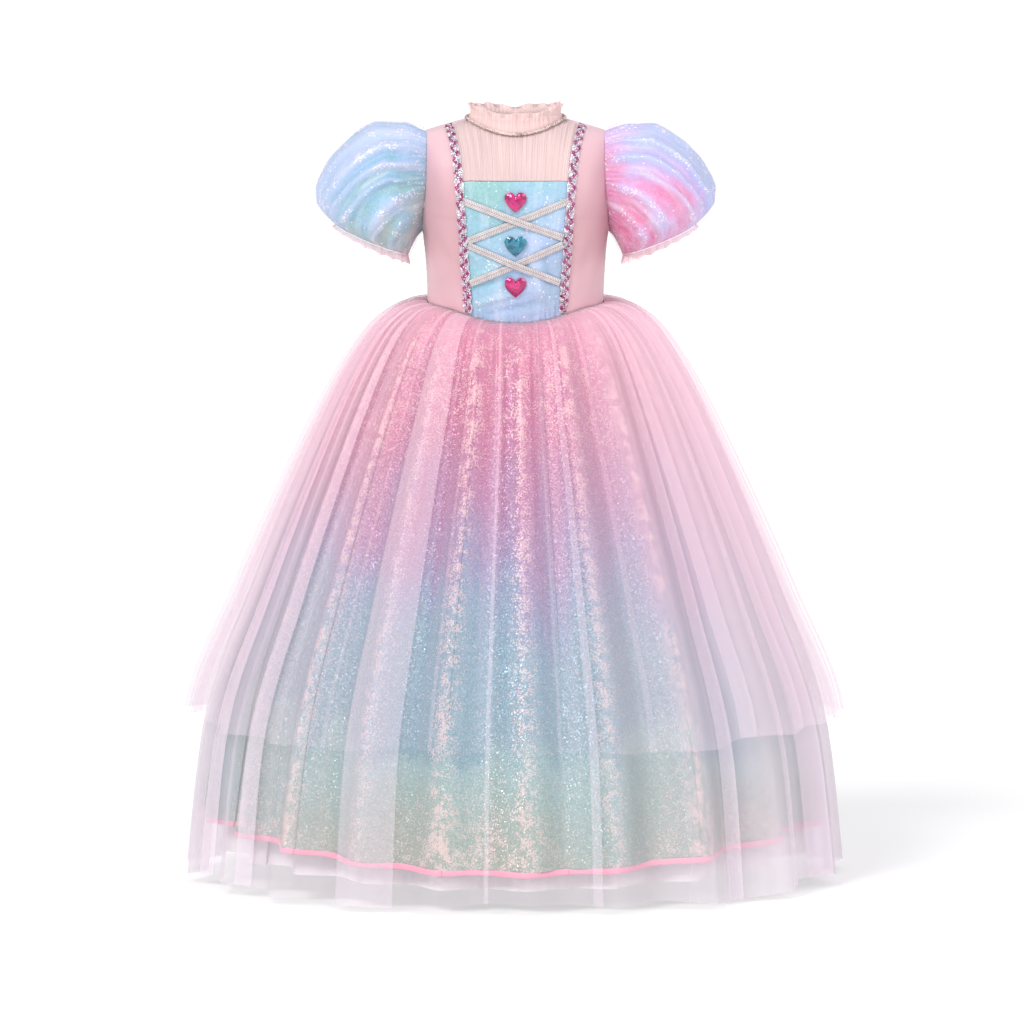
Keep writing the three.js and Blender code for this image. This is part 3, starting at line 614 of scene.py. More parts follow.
MESH_FINISH = {"Roughness": 0.75, "Sheen_Weight": 0.3, "Specular_IOR_Level": 0.2}
mesh_cloth, tree, shader = new_material("peach mesh", **MESH_FINISH)
gather = use(tree, streaks, Across=420.0, Along=7.0, Contrast=2.4)["Mask"]
tone = use(tree, clouds, Scale=14.0, Contrast=2.0)["Mask"]
pale = blend_colours(tree, tone, rgb(232, 206, 203), rgb(220, 188, 192))
threads = maths(tree, "MULTIPLY_ADD", use(tree, weave, Threads=750.0)["Height"], 0.3, gather)
feed(tree, shader, Base_Color=blend_colours(tree, gather, pale, rgb(240, 216, 214)),
     Alpha=spread(tree, gather, 0.72, 0.88), Normal=bumped(tree, threads, 0.3, 0.001))

shares, levels = np.linspace(-1, 1, 330)[None, :], np.linspace(0, 1, 60)[:, None]


def yoke_angle(rise):
    return angle_at(shares[0] * (trim_x(rise) - SEAM_GAP / 2), rise)


bottom = PANEL_TOP_RISE + SEAM_GAP / 100
rise = bottom + (rise_to_neck(yoke_angle, shares.shape[1], True) - bottom) * levels
panel = on_figure(yoke_angle(rise), rise, True)
gathers = 0.42 * np.cos(shares * 78 + 2.2 * np.sin(shares * 11) + 1.1 * np.sin(shares * 23 + 1))
gathers = gathers * (0.55 + 0.45 * np.cos(levels * 3 + 5 * shares) ** 2)
gathers = gathers + 0.2 * np.cos(shares * 171 + 3 * levels)
piece = cloth("yoke_mesh", raised(panel, gathers - 0.4))
sew(piece, "peach_mesh", mesh_cloth, "yoke")

# Collar and neck braid.
# The collar is a doubled strip of the same mesh, drawn up tight at the neck seam so that its top edge
# frills out. A twisted cord in silver and grey is sewn over the seam, from one side of the back opening
# to the other.
COLLAR_FRONT, COLLAR_BACK, COLLAR_SHARPNESS = 27, 18, 3.2
# how far it stands in from the seam, and how deep its pleats are, from the seam up
COLLAR = np.array([(0, 0.2), (3.0, 1.0), (1.5, 2.2)])


def neck_ring(angle, out=0.0):
    """Points round the neck seam, moved outwards if asked."""
    x = NECK_HALF_WIDTH * np.sin(angle)
    y = NECK_Y - np.where(np.cos(angle) > 0, NECK_FRONT, NECK_BACK) * np.cos(angle)
    front = y < 0

    def place(rise):
        before, behind = (on_figure(angle_at(x, rise), rise, side) for side in (True, False))
        return np.where(front[..., None], before, behind)

    def below(rise):
        return np.abs(place(rise)[..., 1]) > np.abs(y)
    rise = search(below, np.ones(x.shape), np.full(x.shape, 2.0))
    return np.stack([x + out * np.sin(angle), y - out * np.cos(angle), place(rise)[..., 2]], -1)


turns = np.linspace(-math.pi + 0.002, math.pi - 0.002, 760)
base = neck_ring(turns)
levels = np.linspace(0, 1, 20)[:, None]
inset, wave = by_row(COLLAR, 0, levels * 2), by_row(COLLAR, 1, levels * 2)
pleats = np.cos(58 * turns + 2.4 * np.sin(5 * turns) + 1.5 * np.sin(11 * turns))
pleats = pleats * (0.75 + 0.25 * np.sin(9 * turns))
frill = np.cos(17 * turns + 1.6 * np.sin(3 * turns)) * np.clip((levels - 0.72) / 0.28, 0, 1) ** 1.4
drawn = 1 - 0.75 * bell(levels - 0.78, 0.05)
out = wave * 0.62 * pleats * drawn + 2.4 * frill - inset
top_edge = (1.2 * np.sin(7 * turns + 1) + 0.9 * np.cos(17 * turns + 1.6 * np.sin(3 * turns))) * levels**6
near_front = ((1 + np.cos(turns)) / 2) ** COLLAR_SHARPNESS
collar_height = COLLAR_BACK + (COLLAR_FRONT - COLLAR_BACK) * near_front
collar_points = np.stack([
    base[:, 0] + out * np.sin(turns),
    base[:, 1] - out * np.cos(turns),
    base[:, 2] + 0.8 + collar_height * levels + top_edge,
], -1)
collar_mesh, tree, shader = new_material("peach mesh, doubled", **MESH_FINISH)
gather = use(tree, streaks, Across=500.0, Along=12.0, Contrast=2.2)["Mask"]
feed(tree, shader, Base_Color=blend_colours(tree, gather, rgb(232, 196, 194), rgb(243, 216, 212)),
     Alpha=spread(tree, gather, 0.8, 0.98), Normal=bumped(tree, gather, 0.3, 0.001))
piece = cloth("collar_frill", collar_points)
sew(piece, "peach_mesh", collar_mesh, "collar")


def tube_rings(path, radius, sides=6):
    """A grid round a path of points: rings of the radius given."""
    along_path = unit_length(np.gradient(path, axis=0))
    side = unit_length(np.cross(along_path, [0, 0, 1.0]))
    up = np.cross(side, along_path)
    turn = (np.arange(sides) / sides * 2 * np.pi)[None, :, None]
    return path[:, None] + radius * (np.cos(turn) * side[:, None] + np.sin(turn) * up[:, None])


cord_thread, tree, shader = new_material("silver cord", Metallic=0.35, Roughness=0.42)
tone = use(tree, clouds, Scale=40.0, Contrast=5.0)["Mask"]
fleck = use(tree, film_flecks, Flakes=900.0, Share=0.35, Tilt=0.6)
pale = blend_colours(tree, tone, rgb(222, 200, 194), rgb(160, 142, 138))
# Painted glints: some flecks of the cord are turned near white.
feed(tree, shader, Base_Color=blend_colours(tree, fleck["Lit"], pale, rgb(240, 226, 220)),
     Normal=fleck["Normal"])
CORD_OUT, CORD_UP, STRAND_RADIUS, STRAND_SPACING, STRAND_TWISTS = 2.7, 2.6, 1.05, 1.15, 62
turns = np.linspace(-math.pi + 0.03, math.pi - 0.03, 1000)
centre = neck_ring(turns, CORD_OUT)
centre[:, 2] = neck_ring(turns)[:, 2] + CORD_UP
level_out = np.stack([np.sin(turns), -np.cos(turns), turns * 0], -1)
upright = np.array([0, 0, 1.0])
strands = []
for strand in range(3):
    twist = (turns * STRAND_TWISTS + strand * 2 * math.pi / 3)[:, None]
    path = centre + STRAND_SPACING * (np.cos(twist) * level_out + np.sin(twist) * upright)
    strands.append(tube_rings(path, STRAND_RADIUS))
piece = join_grids("neck_braid_cord", strands)
sew(piece, "silver_cord", cord_thread, "neck_braid")

# Skirt, from the lining out.
# Four layers are gathered into the waist seam: a plain lining, a glittering film cloth whose colour runs from
# pink to mint with its hem bound in satin, a long pale pink tulle, and a shorter and wider tulle tier on top.
SKIRT_DEPTH_CUT, BACK_DEPTH_CUT, LAYER_STEP, BINDING_HEIGHT = 30, 40, 1.8, 7
# drop, tier, tulle, sequin, lining, fold
FLARE = np.array([
    (0, 0, 0, 0, 0, 0.0),
    (-2, 12, 11, 10, 9, 1.0),
    (7, 40, 36, 31, 25, 3.0),
    (38, 75, 68, 59, 47, 6.5),
    (110, 119, 109, 97, 79, 9.0),
    (230, 176, 161, 146, 123, 11.0),
    (370, 237, 216, 198, 174, 12.5),
    (527, 297, 271, 248, 224, 14.0),
    (730, 297, 295, 279, 255, 16.0),
], float)
FOLD = 5
# name: its column in the table, hem, rise of the hem at the sides, place in the stack at the waist
LAYERS = {
    "tier": (1, -745, 0, 0),
    "tulle": (2, -942, 0, 1),
    "sequin": (3, -905, 30, 2),
    "lining": (4, -925, 12, 3.4),
}
GORES = ("front", "front_right", "back_right", "back", "back_left", "front_left")
# The main folds that all layers share, by their places in degrees from the front and their heights
RIDGES = np.array([
    (-80, 0.9), (-63, 0.8), (-47, 1.1), (-31, 0.7), (-14.5, 1.0), (2, 0.75), (19, 0.85), (37, 1.15),
    (57, 0.8), (76, 0.95), (97, 0.8), (116, 1.05), (133, 0.75), (154, 1.0), (171, 0.8), (188, 1.0),
    (206, 0.75), (224, 1.1), (243, 0.85), (262, 0.9),
])


def fold_wave(angle):
    """1 on a main fold and -1 between two, a little sharper on the fold than between."""
    degrees = np.degrees(angle) % 360
    places = RIDGES[:, 0] % 360
    order = np.argsort(places)
    places, heights = places[order], RIDGES[order, 1]
    places = np.concatenate([[places[-1] - 360], places, [places[0] + 360]])
    heights = np.concatenate([[heights[-1]], heights, [heights[0]]])
    phase = np.interp(degrees, places, np.arange(len(places)) * 2 * np.pi)
    sharp = 1 - 2 * np.abs(np.sin(phase / 2))
    return (0.65 * np.cos(phase) + 0.35 * sharp) * np.interp(degrees, places, heights)


def on_skirt(layer, angle, station, push=0.0, hem_shift=0.0):
    """Points of a layer: station is the row number in the flare table, and push moves them out or in."""
    column, hem_z, side_rise, stack = LAYERS[layer]
    drop = by_row(FLARE, 0, station)
    top = waist_z(angle) - stack * LAYER_STEP
    hem = hem_z + side_rise * np.sin(angle) ** 2 + hem_shift
    half = FIGURE[0, HALF_WIDTH] + by_row(FLARE, column, station) + push
    half = half + by_row(FLARE, FOLD, station) * fold_wave(angle)
    front = np.cos(angle) >= 0
    depth = half - np.where(front, SKIRT_DEPTH_CUT, BACK_DEPTH_CUT)
    power = 0.8 + 0.2 * np.clip((station - 1) / 3, 0, 1)
    x = half * np.abs(np.sin(angle)) ** power * np.sign(np.sin(angle))
    y = depth * np.abs(np.cos(angle)) ** power * np.where(front, -1, 1)
    z = np.where(drop <= 0, top - drop, top - drop * (top - hem) / (WAIST_SIDE_Z - hem_z))
    return np.stack(np.broadcast_arrays(x, y, z), -1)


def station_at(drop):
    """The row number in the flare table, with a fraction, at which a layer has dropped so far."""
    row = float(np.argmax((FLARE[:, 0] >= drop) & (FLARE[:, 0] > 0)))
    return float(search(lambda station: by_row(FLARE, 0, station) < drop, np.array(row - 1), np.array(row)))


def laid_folds(folds, count):
    """Angles and pushes along the cloth's width. At each fold, given by its place and lap in degrees and its
    depth in millimetres, the cloth runs on, doubles back under itself and runs on again."""
    folds = sorted(folds)
    bends = []
    for (at, lap, depth), (after, *_) in zip(folds, folds[1:] + [(folds[0][0] + 360, 0, 0)]):
        for side, out in ((-1, 0.35), (1, 1), (-1, -1), (1, -0.35)):
            bends.append((at + side * lap / 2, out * depth))
        bends.append(((at + after) / 2, 0))
    bends.append((bends[0][0] + 360, bends[0][1]))
    turn, out = np.array(bends).T
    run = np.concatenate([[0], np.cumsum(np.abs(np.diff(turn)) + 0.25)])
    places = np.arange(count) / count * run[-1]
    turn, out = np.interp(places, run, turn), np.interp(places, run, out)
    soft = np.hanning(9) / np.hanning(9).sum()
    turn = np.convolve(np.concatenate([turn - 360, turn, turn + 360]), soft, "same")[count:2 * count]
    out = np.convolve(np.tile(out, 3), soft, "same")[count:2 * count]
    return np.radians(turn), out, places / run[-1]


# station, and how deep the fine gathers are there
GATHER_DEPTHS = ([0, 0.6, 1.5, 2.5, 3.5, 4.5, 5.5, 9], [0.1, 0.7, 1.0, 0.9, 0.45, 0.2, 0.06, 0.0])


def hung(layer, folds, count, rows, gathers, ripple, hem_wander=0.0, phase=0.0):
    """A layer of the skirt with its folds, the fine gathers that fade below the waist, and the slow ripples
    that grow towards the hem."""
    last = station_at(WAIST_SIDE_Z - LAYERS[layer][1] - (BINDING_HEIGHT if layer == "sequin" else 0))
    upper = rows // 3
    station = [np.linspace(0, 2.5, upper, endpoint=False), np.linspace(2.5, last, rows - upper)]
    station = np.concatenate(station)[:, None]
    turn, out, share = laid_folds(folds, count)
    along_cut = share * 2 * np.pi
    deep = np.clip((station - 1.5) / 3.0, 0, 1)
    close = np.interp(station, *GATHER_DEPTHS)
    pleat = np.sin(gathers * along_cut + 2.6 * np.sin(13 * along_cut + phase) + 1.7 * np.sin(29 * along_cut))
    pleat = pleat * (0.7 + 0.3 * np.sin(7 * along_cut + phase))
    slow = np.sin(27 * along_cut + 2 * np.sin(6 * along_cut + phase) + 0.4 * station)
    slow = slow + 0.4 * np.sin(43 * along_cut + phase - 0.3 * station)
    push = out * deep + 1.9 * close * pleat + ripple * slow * np.clip((station - 2) / 5, 0, 1) ** 1.3
    shift = hem_wander * (np.sin(5 * turn + phase) + 0.6 * np.sin(11 * turn + 2 * phase))
    points = on_skirt(layer, turn[None, :], station, push + 1.0 * (station == 0), shift)
    points[0, :, 2] += 1.4
    edge = np.abs(np.gradient(turn))
    doubled = (np.gradient(turn) < 0.3 * np.median(edge)).astype(float)
    doubled = np.convolve(np.tile(doubled, 3), np.hanning(15) / np.hanning(15).sum(), "same")[count:2 * count]
    return points, station, turn, doubled


lining_cloth, tree, shader = new_material("lining", Roughness=0.8, Specular_IOR_Level=0.2)
tone = use(tree, streaks, Across=90.0, Along=5.0, Contrast=1.5)["Mask"]
threads = use(tree, weave, Threads=900.0)["Height"]
feed(tree, shader, Base_Color=blend_colours(tree, tone, rgb(243, 238, 240), rgb(230, 224, 229)),
     Normal=bumped(tree, threads, 0.12, 0.0005))
# place and lap in degrees, depth in millimetres
LINING_FOLDS = [(-150, 2, 3), (-60, 3, 3), (20, 2, 3), (95, 3, 3)]
points = hung("lining", LINING_FOLDS, 420, 40, 60, 1.2)[0]
piece = cloth("skirt_lining_cloth", points, closed=True)
sew(piece, "lining", lining_cloth, *["skirt_lining_" + gore for gore in GORES])

sequin_cloth, tree, shader = new_material("glittering film cloth", Metallic=0.2, Coat_Weight=0.2,
                                          Coat_Roughness=0.25)
wander = use(tree, clouds, Scale=5.5, Contrast=3.0)["Mask"]
fold = use(tree, streaks, Across=22.0, Along=1.6, Contrast=2.4)["Mask"]
place = spread(tree, slope(tree, (0, 0, -1)), 0.0, 1.0, 0.225, 0.915)
for shift in (wander, fold):
    place = maths(tree, "ADD", spread(tree, shift, -0.07, 0.07), place)
SKIRT_COLOURS = [
    (0.0, rgb(208, 94, 140)), (0.13, rgb(182, 58, 116)), (0.24, rgb(166, 74, 132)),
    (0.33, rgb(150, 96, 148)), (0.415, rgb(132, 114, 160)), (0.5, rgb(104, 136, 168)),
    (0.6, rgb(94, 148, 166)), (0.72, rgb(102, 150, 162)), (0.77, rgb(134, 172, 172)),
    (0.87, rgb(136, 166, 156)), (1.0, rgb(150, 162, 146)),
]
colour = ramp(tree, place, SKIRT_COLOURS)
# Painted glints: a share of the flecks turns a warm cream, pink or peach glint colour, most of them where the
# ridge mark is high.
patch = use(tree, clouds, Scale=70.0, Contrast=4.0)["Mask"]
glint_on_ridges = maths(tree, "MULTIPLY", patch, mark(tree, "ridge"))
glint_share = maths(tree, "MULTIPLY_ADD", glint_on_ridges, 0.62, 0.02, clamped=True)
flakes = use(tree, film_flecks, Flakes=680.0, Share=glint_share, Tilt=0.6)
colour = blend_colours(tree, spread(tree, flakes["Tint"], 0.0, 0.22), colour, rgb(226, 222, 234))
warm_glint_tints = [(0.0, rgb(255, 214, 196)), (0.5, rgb(240, 196, 214)), (1.0, rgb(236, 230, 200))]
warm = ramp(tree, flakes["Tint"], warm_glint_tints)
painted_glint = blend_colours(tree, 0.4, warm, colour)
feed(tree, shader, Base_Color=blend_colours(tree, flakes["Lit"], colour, painted_glint),
     Roughness=spread(tree, patch, 0.28, 0.48),
     Normal=bumped(tree, fold, 0.3, 0.002, Normal=flakes["Normal"]))
# place and lap in degrees, depth in millimetres
SEQUIN_FOLDS = [
    (-165, 2.4, 2), (-132, 1.8, 1.6), (-104, 2.2, 2), (-73, 1.6, 1.5), (-46, 2.6, 1.6), (-14, 1.6, 1.3),
    (10, 1.4, 1.2), (37, 2.4, 1.6), (63, 1.8, 1.5), (92, 2.2, 2), (121, 2.0, 1.7), (149, 2.4, 2),
]


def degrees_off(turn, place):
    """How many degrees each angle lies from a place."""
    return (np.degrees(turn) - place + 180) % 360 - 180


points, station, turn, _ = hung("sequin", SEQUIN_FOLDS, 1100, 66, 96, 1.8)
# The ridge mark only says where glints are painted: on the main folds, in a band below the waist and in
# patches near the hem.
crest = sum(height * bell(degrees_off(turn, place), 2.0) for place, height in RIDGES)
crest = crest[None, :] * np.clip(station / 3, 0, 1)
low_glint_band = np.clip((-points[..., 2] - 780) / 110, 0, 1) * (0.35 + 0.35 * np.cos(7 * turn + 1)[None, :])
upper_glint_band = bell(points[..., 2] + 300, 90) * 0.6
ridge = crest * 1.3 + low_glint_band * 1.5 + upper_glint_band
piece = cloth("skirt_sequin_cloth", points, closed=True, marks={"ridge": ridge})
sew(piece, "sequin_cloth", sequin_cloth, *["skirt_sequin_" + gore for gore in GORES])

# The binding is folded over the edge of the glittering cloth, so its section is a narrow U.
binding_satin = satin_material("binding satin", rgb(246, 168, 190), rgb(238, 150, 176))
last = station_at(WAIST_SIDE_Z - LAYERS["sequin"][1])
first = station_at(WAIST_SIDE_Z - LAYERS["sequin"][1] - BINDING_HEIGHT)
# share of the height, and distance out of the cloth
HEM_SECTION = [
    (-0.1, 0.3), (0.1, 1.1), (0.5, 1.5), (0.85, 1.4), (1.0, 0.6), (1.0, -0.6), (0.85, -1.4), (0.3, -1.3),
    (0.0, -0.4),
]
turn, out, _ = laid_folds(SEQUIN_FOLDS, 1100)
strip = np.stack([
    on_skirt("sequin", turn, np.full(turn.shape, first + (last - first) * level), out + away)
    for level, away in HEM_SECTION
])
piece = cloth("hem_binding_satin", strip, closed=True)
sew(piece, "binding", binding_satin, "hem_binding_front", "hem_binding_back")


def tulle_material(name, top, bottom, across):
    """Sheer net: its colour pales down the skirt, its cover is the mesh's own value for each point, and it
    glows with painted light, faintly all over and brighter on the folded edges where the net doubles over."""
    material, tree, shader = new_material(name, Roughness=0.9, Specular_IOR_Level=0.0, Emission_Strength=0.4)
    height = spread(tree, slope(tree, (0, 0, 1)), 0.0, 1.0, -0.75, -0.25)
    gather = use(tree, streaks, Across=across, Along=1.4, Contrast=2.6)["Mask"]
    colour = blend_colours(tree, height, bottom, top)
    pale = blend_colours(tree, spread(tree, gather, 0.0, 0.3), colour, rgb(252, 244, 250))
    # Painted light: the net glows dim grey-pink all over and pale pink where the edge mark shows it doubled
    # over.
    painted_glow = blend_colours(tree, mark(tree, "edge"), rgb(96, 84, 92), rgb(246, 222, 234))
    feed(tree, shader, Base_Color=pale, Alpha=mark(tree, "cover"), Emission_Color=painted_glow)
    return material


# place and lap in degrees, depth in millimetres
TULLE_FOLDS = [
    (-170, 4, 4), (-149, 9, 4), (-126, 3, 3), (-108, 6, 4), (-90, 4, 3), (-76, 5, 3), (-59, 5, 4),
    (-29, 13, 5), (-5.5, 2, 3), (15, 2.5, 4), (45, 5, 4), (60, 3, 3), (72, 6, 4), (88, 4, 3), (106, 6, 4),
    (131, 10, 4), (152, 3, 3), (171, 5, 4),
]
TIER_FOLDS = [
    (-162, 5, 4), (-140, 8, 5), (-118, 4, 4), (-101, 7, 4), (-86, 5, 4), (-70, 7, 5), (-52, 4, 4),
    (-38, 3, 4), (-15, 2, 3), (8, 1.6, 3), (26, 2.4, 4), (48, 4, 4), (63, 7, 5), (80, 5, 4), (97, 6, 4),
    (119, 4, 4), (142, 8, 5), (164, 4, 4),
]
long_tulle = tulle_material("long pink tulle", rgb(244, 206, 220), rgb(222, 212, 222), 24.0)
tier_tulle = tulle_material("short pink tulle", rgb(246, 206, 220), rgb(236, 216, 228), 26.0)
# layer, folds, material, cover in front, share of it added at the sides, gathers, ripple, wander of the hem,
# where the waves start, flat size, flat area
for layer, folds, material, clear, sides, gathers, ripple, wander, phase, flat, area in (
        ("tulle", TULLE_FOLDS, long_tulle, 0.125, 1.35, 120, 1.3, 4.0, 1.0, (4.5, 0.805), 2.65),
        ("tier", TIER_FOLDS, tier_tulle, 0.045, 0.7, 132, 1.5, 3.0, 2.5, (4.48, 0.622), 1.92)):
    points, station, turn, doubled = hung(layer, folds, 1200, 52, gathers, ripple, wander, phase)
    near_top = 0.12 * bell(station, 2.2)
    full = 0.28 * np.maximum(-np.sin(turn), 0) ** 3 + 0.38 * np.maximum(np.sin(turn), 0) ** 1.7
    streak = 0.018 * np.sin(31 * turn + 3 * np.sin(5 * turn))
    streak = streak + 0.012 * np.sin(83 * turn + 4 * np.sin(7 * turn + phase))
    lapped = sum(np.exp(-((degrees_off(turn, at) / (lap / 2 + 0.6)) ** 4)) for at, lap, _ in folds)
    thin = 1 - 0.5 * np.minimum(lapped, 1)
    cover = near_top + (clear + (full * sides + streak) * thin)[None, :]
    # The edge mark is where the net doubles over at a fold, which the material paints with a brighter glow.
    marks = {"cover": cover, "edge": doubled[None, :] * 0.6}
    piece = cloth("skirt_" + layer + "_net", points, closed=True, marks=marks)
    sew(piece, "pink_tulle", material, *["skirt_" + layer + "_" + gore for gore in GORES])

# Trims, lacing and gems.
# Over each front seam lies a braid of zigzag sequins and seed beads on a silver tape. Four flat knitted
# straps cross on the panel with their ends under the braids, and three faceted hearts are sewn to it.
tape_thread, tree, shader = new_material("silver tape", Metallic=0.35, Roughness=0.4)
fleck = use(tree, film_flecks, Flakes=700.0, Share=0.4, Tilt=0.8)
# Painted glints: some flecks of the tape are turned near white.
feed(tree, shader, Base_Color=blend_colours(tree, fleck["Lit"], rgb(205, 196, 204), rgb(246, 240, 244)),
     Normal=fleck["Normal"])


def sequin_material(name, light, deep):
    """Shiny film that differs a little in colour from one sequin or bead to the next."""
    material, tree, shader = new_material(name, Metallic=0.45, Coat_Weight=0.6, Coat_Roughness=0.08)
    tone = use(tree, film_flecks, Flakes=330.0, Share=0.5, Tilt=0.3)
    grime = use(tree, clouds, Scale=60.0, Contrast=3.0)["Mask"]
    feed(tree, shader, Base_Color=blend_colours(tree, tone["Tint"], light, deep),
         Roughness=spread(tree, grime, 0.16, 0.32), Normal=tone["Normal"])
    return material


silver_sequins = sequin_material("silver sequins", rgb(236, 228, 236), rgb(190, 180, 196))
pink_sequins = sequin_material("magenta sequins", rgb(196, 88, 148), rgb(144, 46, 104))
bead_glass = sequin_material("pearl beads", rgb(240, 222, 234), rgb(214, 184, 204))


def on_trim(side, across, rise, lift):
    """Points on the seam braid: across runs over its width, and lift is out of the bodice."""
    x = (trim_x(rise) + across) * side
    here = on_figure(angle_at(x, rise), rise, True)
    step = 0.004
    x1, x2 = (trim_x(rise) + across + 1) * side, (trim_x(rise + step) + across) * side
    over = on_figure(angle_at(x1, rise), rise, True) - here
    up = on_figure(angle_at(x2, rise + step), rise + step, True) - here
    out = unit_length(np.cross(over, up) * side)
    return here + out * np.asarray(lift)[..., None], out


def discs(name, centres, outs, radius, dish, sides=8, tilt=0.35, seed=1):
    """Cup sequins: small dished rings, each leaning its own way."""
    chance = np.random.default_rng(seed)
    axis = unit_length(outs + chance.normal(0, tilt, centres.shape))
    side = unit_length(np.cross(axis, [0.3, 0.2, 1.0]))
    up = np.cross(axis, side)
    turn = np.arange(sides) / sides * 2 * np.pi + 0.2
    rings = []
    for size, rise in ((0.22, 0.0), (0.62, dish * 0.35), (1.0, dish), (1.0, dish - 0.25)):
        ring = side[:, None] * np.cos(turn)[None, :, None] + up[:, None] * np.sin(turn)[None, :, None]
        rings.append(centres[:, None] + ring * radius * size + axis[:, None] * rise)
    return join_grids(name, list(np.stack(rings, 1)))


def beads(name, centres, radius):
    """Small round beads."""
    rings = []
    turn = np.arange(8) / 8 * 2 * np.pi
    for polar in np.linspace(0.02, np.pi - 0.02, 6):
        girth = np.sin(polar)
        ring = np.stack([np.cos(turn) * girth, np.sin(turn) * girth, turn * 0 + np.cos(polar)], -1)
        rings.append(centres[:, None] + ring[None] * radius)
    return join_grids(name, list(np.stack(rings, 1)))


TAPE_HALF_WIDTH, SEQUIN_COUNT, BEAD_COUNT, BEAD_RADIUS = 5.2, 118, 66, 1.05
for side, sign in (("right", 1), ("left", -1)):
    rise = np.linspace(0.03, 1.96, 260)[:, None]
    across = np.linspace(-TAPE_HALF_WIDTH, TAPE_HALF_WIDTH, 9)[None, :]
    zigzag = 0.7 * np.sin(rise * 56)
    crown = 0.5 + 0.9 * (1 - (across / TAPE_HALF_WIDTH) ** 2) + 0.2 * np.sin(rise * 260)
    tape, _ = on_trim(sign, across + zigzag, rise, crown)
    piece = cloth("trim_" + side + "_tape", tape)
    sew(piece, "sequin_braid", tape_thread, "trim_" + side)
    rise = np.linspace(0.045, 1.945, SEQUIN_COUNT)
    for name, material, shift, size, lift, seed in (
            ("magenta", pink_sequins, 0.0, 2.15, 1.9, 3), ("silver", silver_sequins, math.pi, 2.25, 1.6, 5)):
        sway = 3.3 * np.sin(rise * 54 + shift) + 0.6 * np.sin(rise * 161 + seed)
        centres, outs = on_trim(sign, sway, rise, np.full(SEQUIN_COUNT, lift))
        piece = discs(f"trim_{side}_{name}_sequins", centres, outs, size, 0.5, seed=seed + sign)
        sew(piece, "sequin_braid", material)
    rise = np.linspace(0.05, 1.94, BEAD_COUNT)
    centres, outs = on_trim(sign, 1.6 * np.sin(rise * 108), rise, np.full(BEAD_COUNT, 2.6))
    piece = beads(f"trim_{side}_beads", centres, BEAD_RADIUS)
    sew(piece, "sequin_braid", bead_glass)

lace_yarn, tree, shader = new_material("knitted lacing", Roughness=0.7, Sheen_Weight=0.3)
tone = use(tree, clouds, Scale=120.0, Contrast=2.5)["Mask"]
pale = blend_colours(tree, tone, rgb(218, 211, 212), rgb(194, 186, 187))
# Painted shade: the grooves between the knitted stitches and along the middle of each strap are darkened.
feed(tree, shader, Base_Color=blend_colours(tree, mark(tree, "painted_knit_shade"), pale, rgb(140, 126, 126)),
     Normal=bumped(tree, tone, 0.25, 0.0005))
STRAP_WIDTH, STRAP_THICKNESS, STRAP_CROSSING = 9, 1.8, 14
# node, left x, z, right x, z, on top at the crossing
STRAPS = [
    ("strap_upper_under", -56, -128, 61, -81, 0),
    ("strap_upper_over", -61, -81, 56, -124, 1),
    ("strap_lower_under", -53, -183, 56, -136, 0),
    ("strap_lower_over", -56, -137, 52, -182, 1),
]
for node, left_x, left_z, right_x, right_z, over in STRAPS:
    slant = (right_z - left_z) / (right_x - left_x)
    lean = np.array([-slant, 1]) / math.hypot(slant, 1)
    x = np.linspace(left_x - 4, right_x + 4, 280)[:, None]
    across = np.linspace(-1, 1, 17)[None, :]
    reach = across * STRAP_WIDTH / 2
    surface = on_front(x + lean[0] * reach, left_z + slant * (x - left_x) + lean[1] * reach)
    fade = np.clip((np.abs(x) - STRAP_CROSSING) / STRAP_CROSSING, 0, 1)
    rise_over = over * (STRAP_THICKNESS + 2 * SEAM_GAP) * (1 - fade**2 * (3 - 2 * fade))
    lift = SEAM_GAP + STRAP_THICKNESS / 2 + rise_over
    stitch = np.cos(2 * np.pi * (x / 3.1 + np.abs(across) * 1.15))
    crown = 0.55 * (1 - across**4) - 0.35 * bell(across, 0.09)
    knit = 0.28 * stitch * (1 - 0.5 * np.abs(across)) + crown
    # Where the stitches dip and along the middle: the share of painted shade.
    groove = np.clip(-stitch * 0.9, 0, 1) * 0.75 + bell(across, 0.08) * 0.5
    piece = cloth(node + "_knit", raised(surface, lift + knit), marks={"painted_knit_shade": np.clip(groove, 0, 1)})
    sew(piece, "lacing", lace_yarn, node)

HEART_WIDTH, HEART_HEIGHT = 28, 26


def gem_material(name, light, deep):
    """Tinted resin under a hard gloss, a little different from facet to facet."""
    material, tree, shader = new_material(name, Metallic=0.3, Coat_Weight=1.0, Coat_Roughness=0.03, IOR=1.6)
    facet = use(tree, film_flecks, Flakes=150.0, Share=0.06, Tilt=0.35)
    feed(tree, shader, Base_Color=blend_colours(tree, facet["Tint"], deep, light),
         Roughness=spread(tree, use(tree, clouds, Scale=90.0)["Mask"], 0.05, 0.12), Normal=facet["Normal"])
    return material


magenta_gem = gem_material("magenta gem", rgb(218, 34, 126), rgb(150, 8, 84))
teal_gem = gem_material("teal gem", rgb(40, 150, 176), rgb(8, 84, 112))


def heart_outline(count):
    """A heart that reaches one unit each way, point down, from the four curves that the solid uses."""
    curves = np.array([
        ((0, -1), (0.55, -0.55), (1, -0.05), (1, 0.42)),
        ((1, 0.42), (1, 1.12), (0.12, 1.22), (0, 0.5)),
    ])
    t = np.linspace(0, 1, count, endpoint=False)[:, None]
    weights = ((1 - t) ** 3, 3 * (1 - t) ** 2 * t, 3 * (1 - t) * t**2, t**3)
    half = np.concatenate([sum(weight * point for weight, point in zip(weights, curve)) for curve in curves])
    other = half[1:][::-1] * [-1, 1]
    return np.concatenate([half, [[0, 0.5]], other])


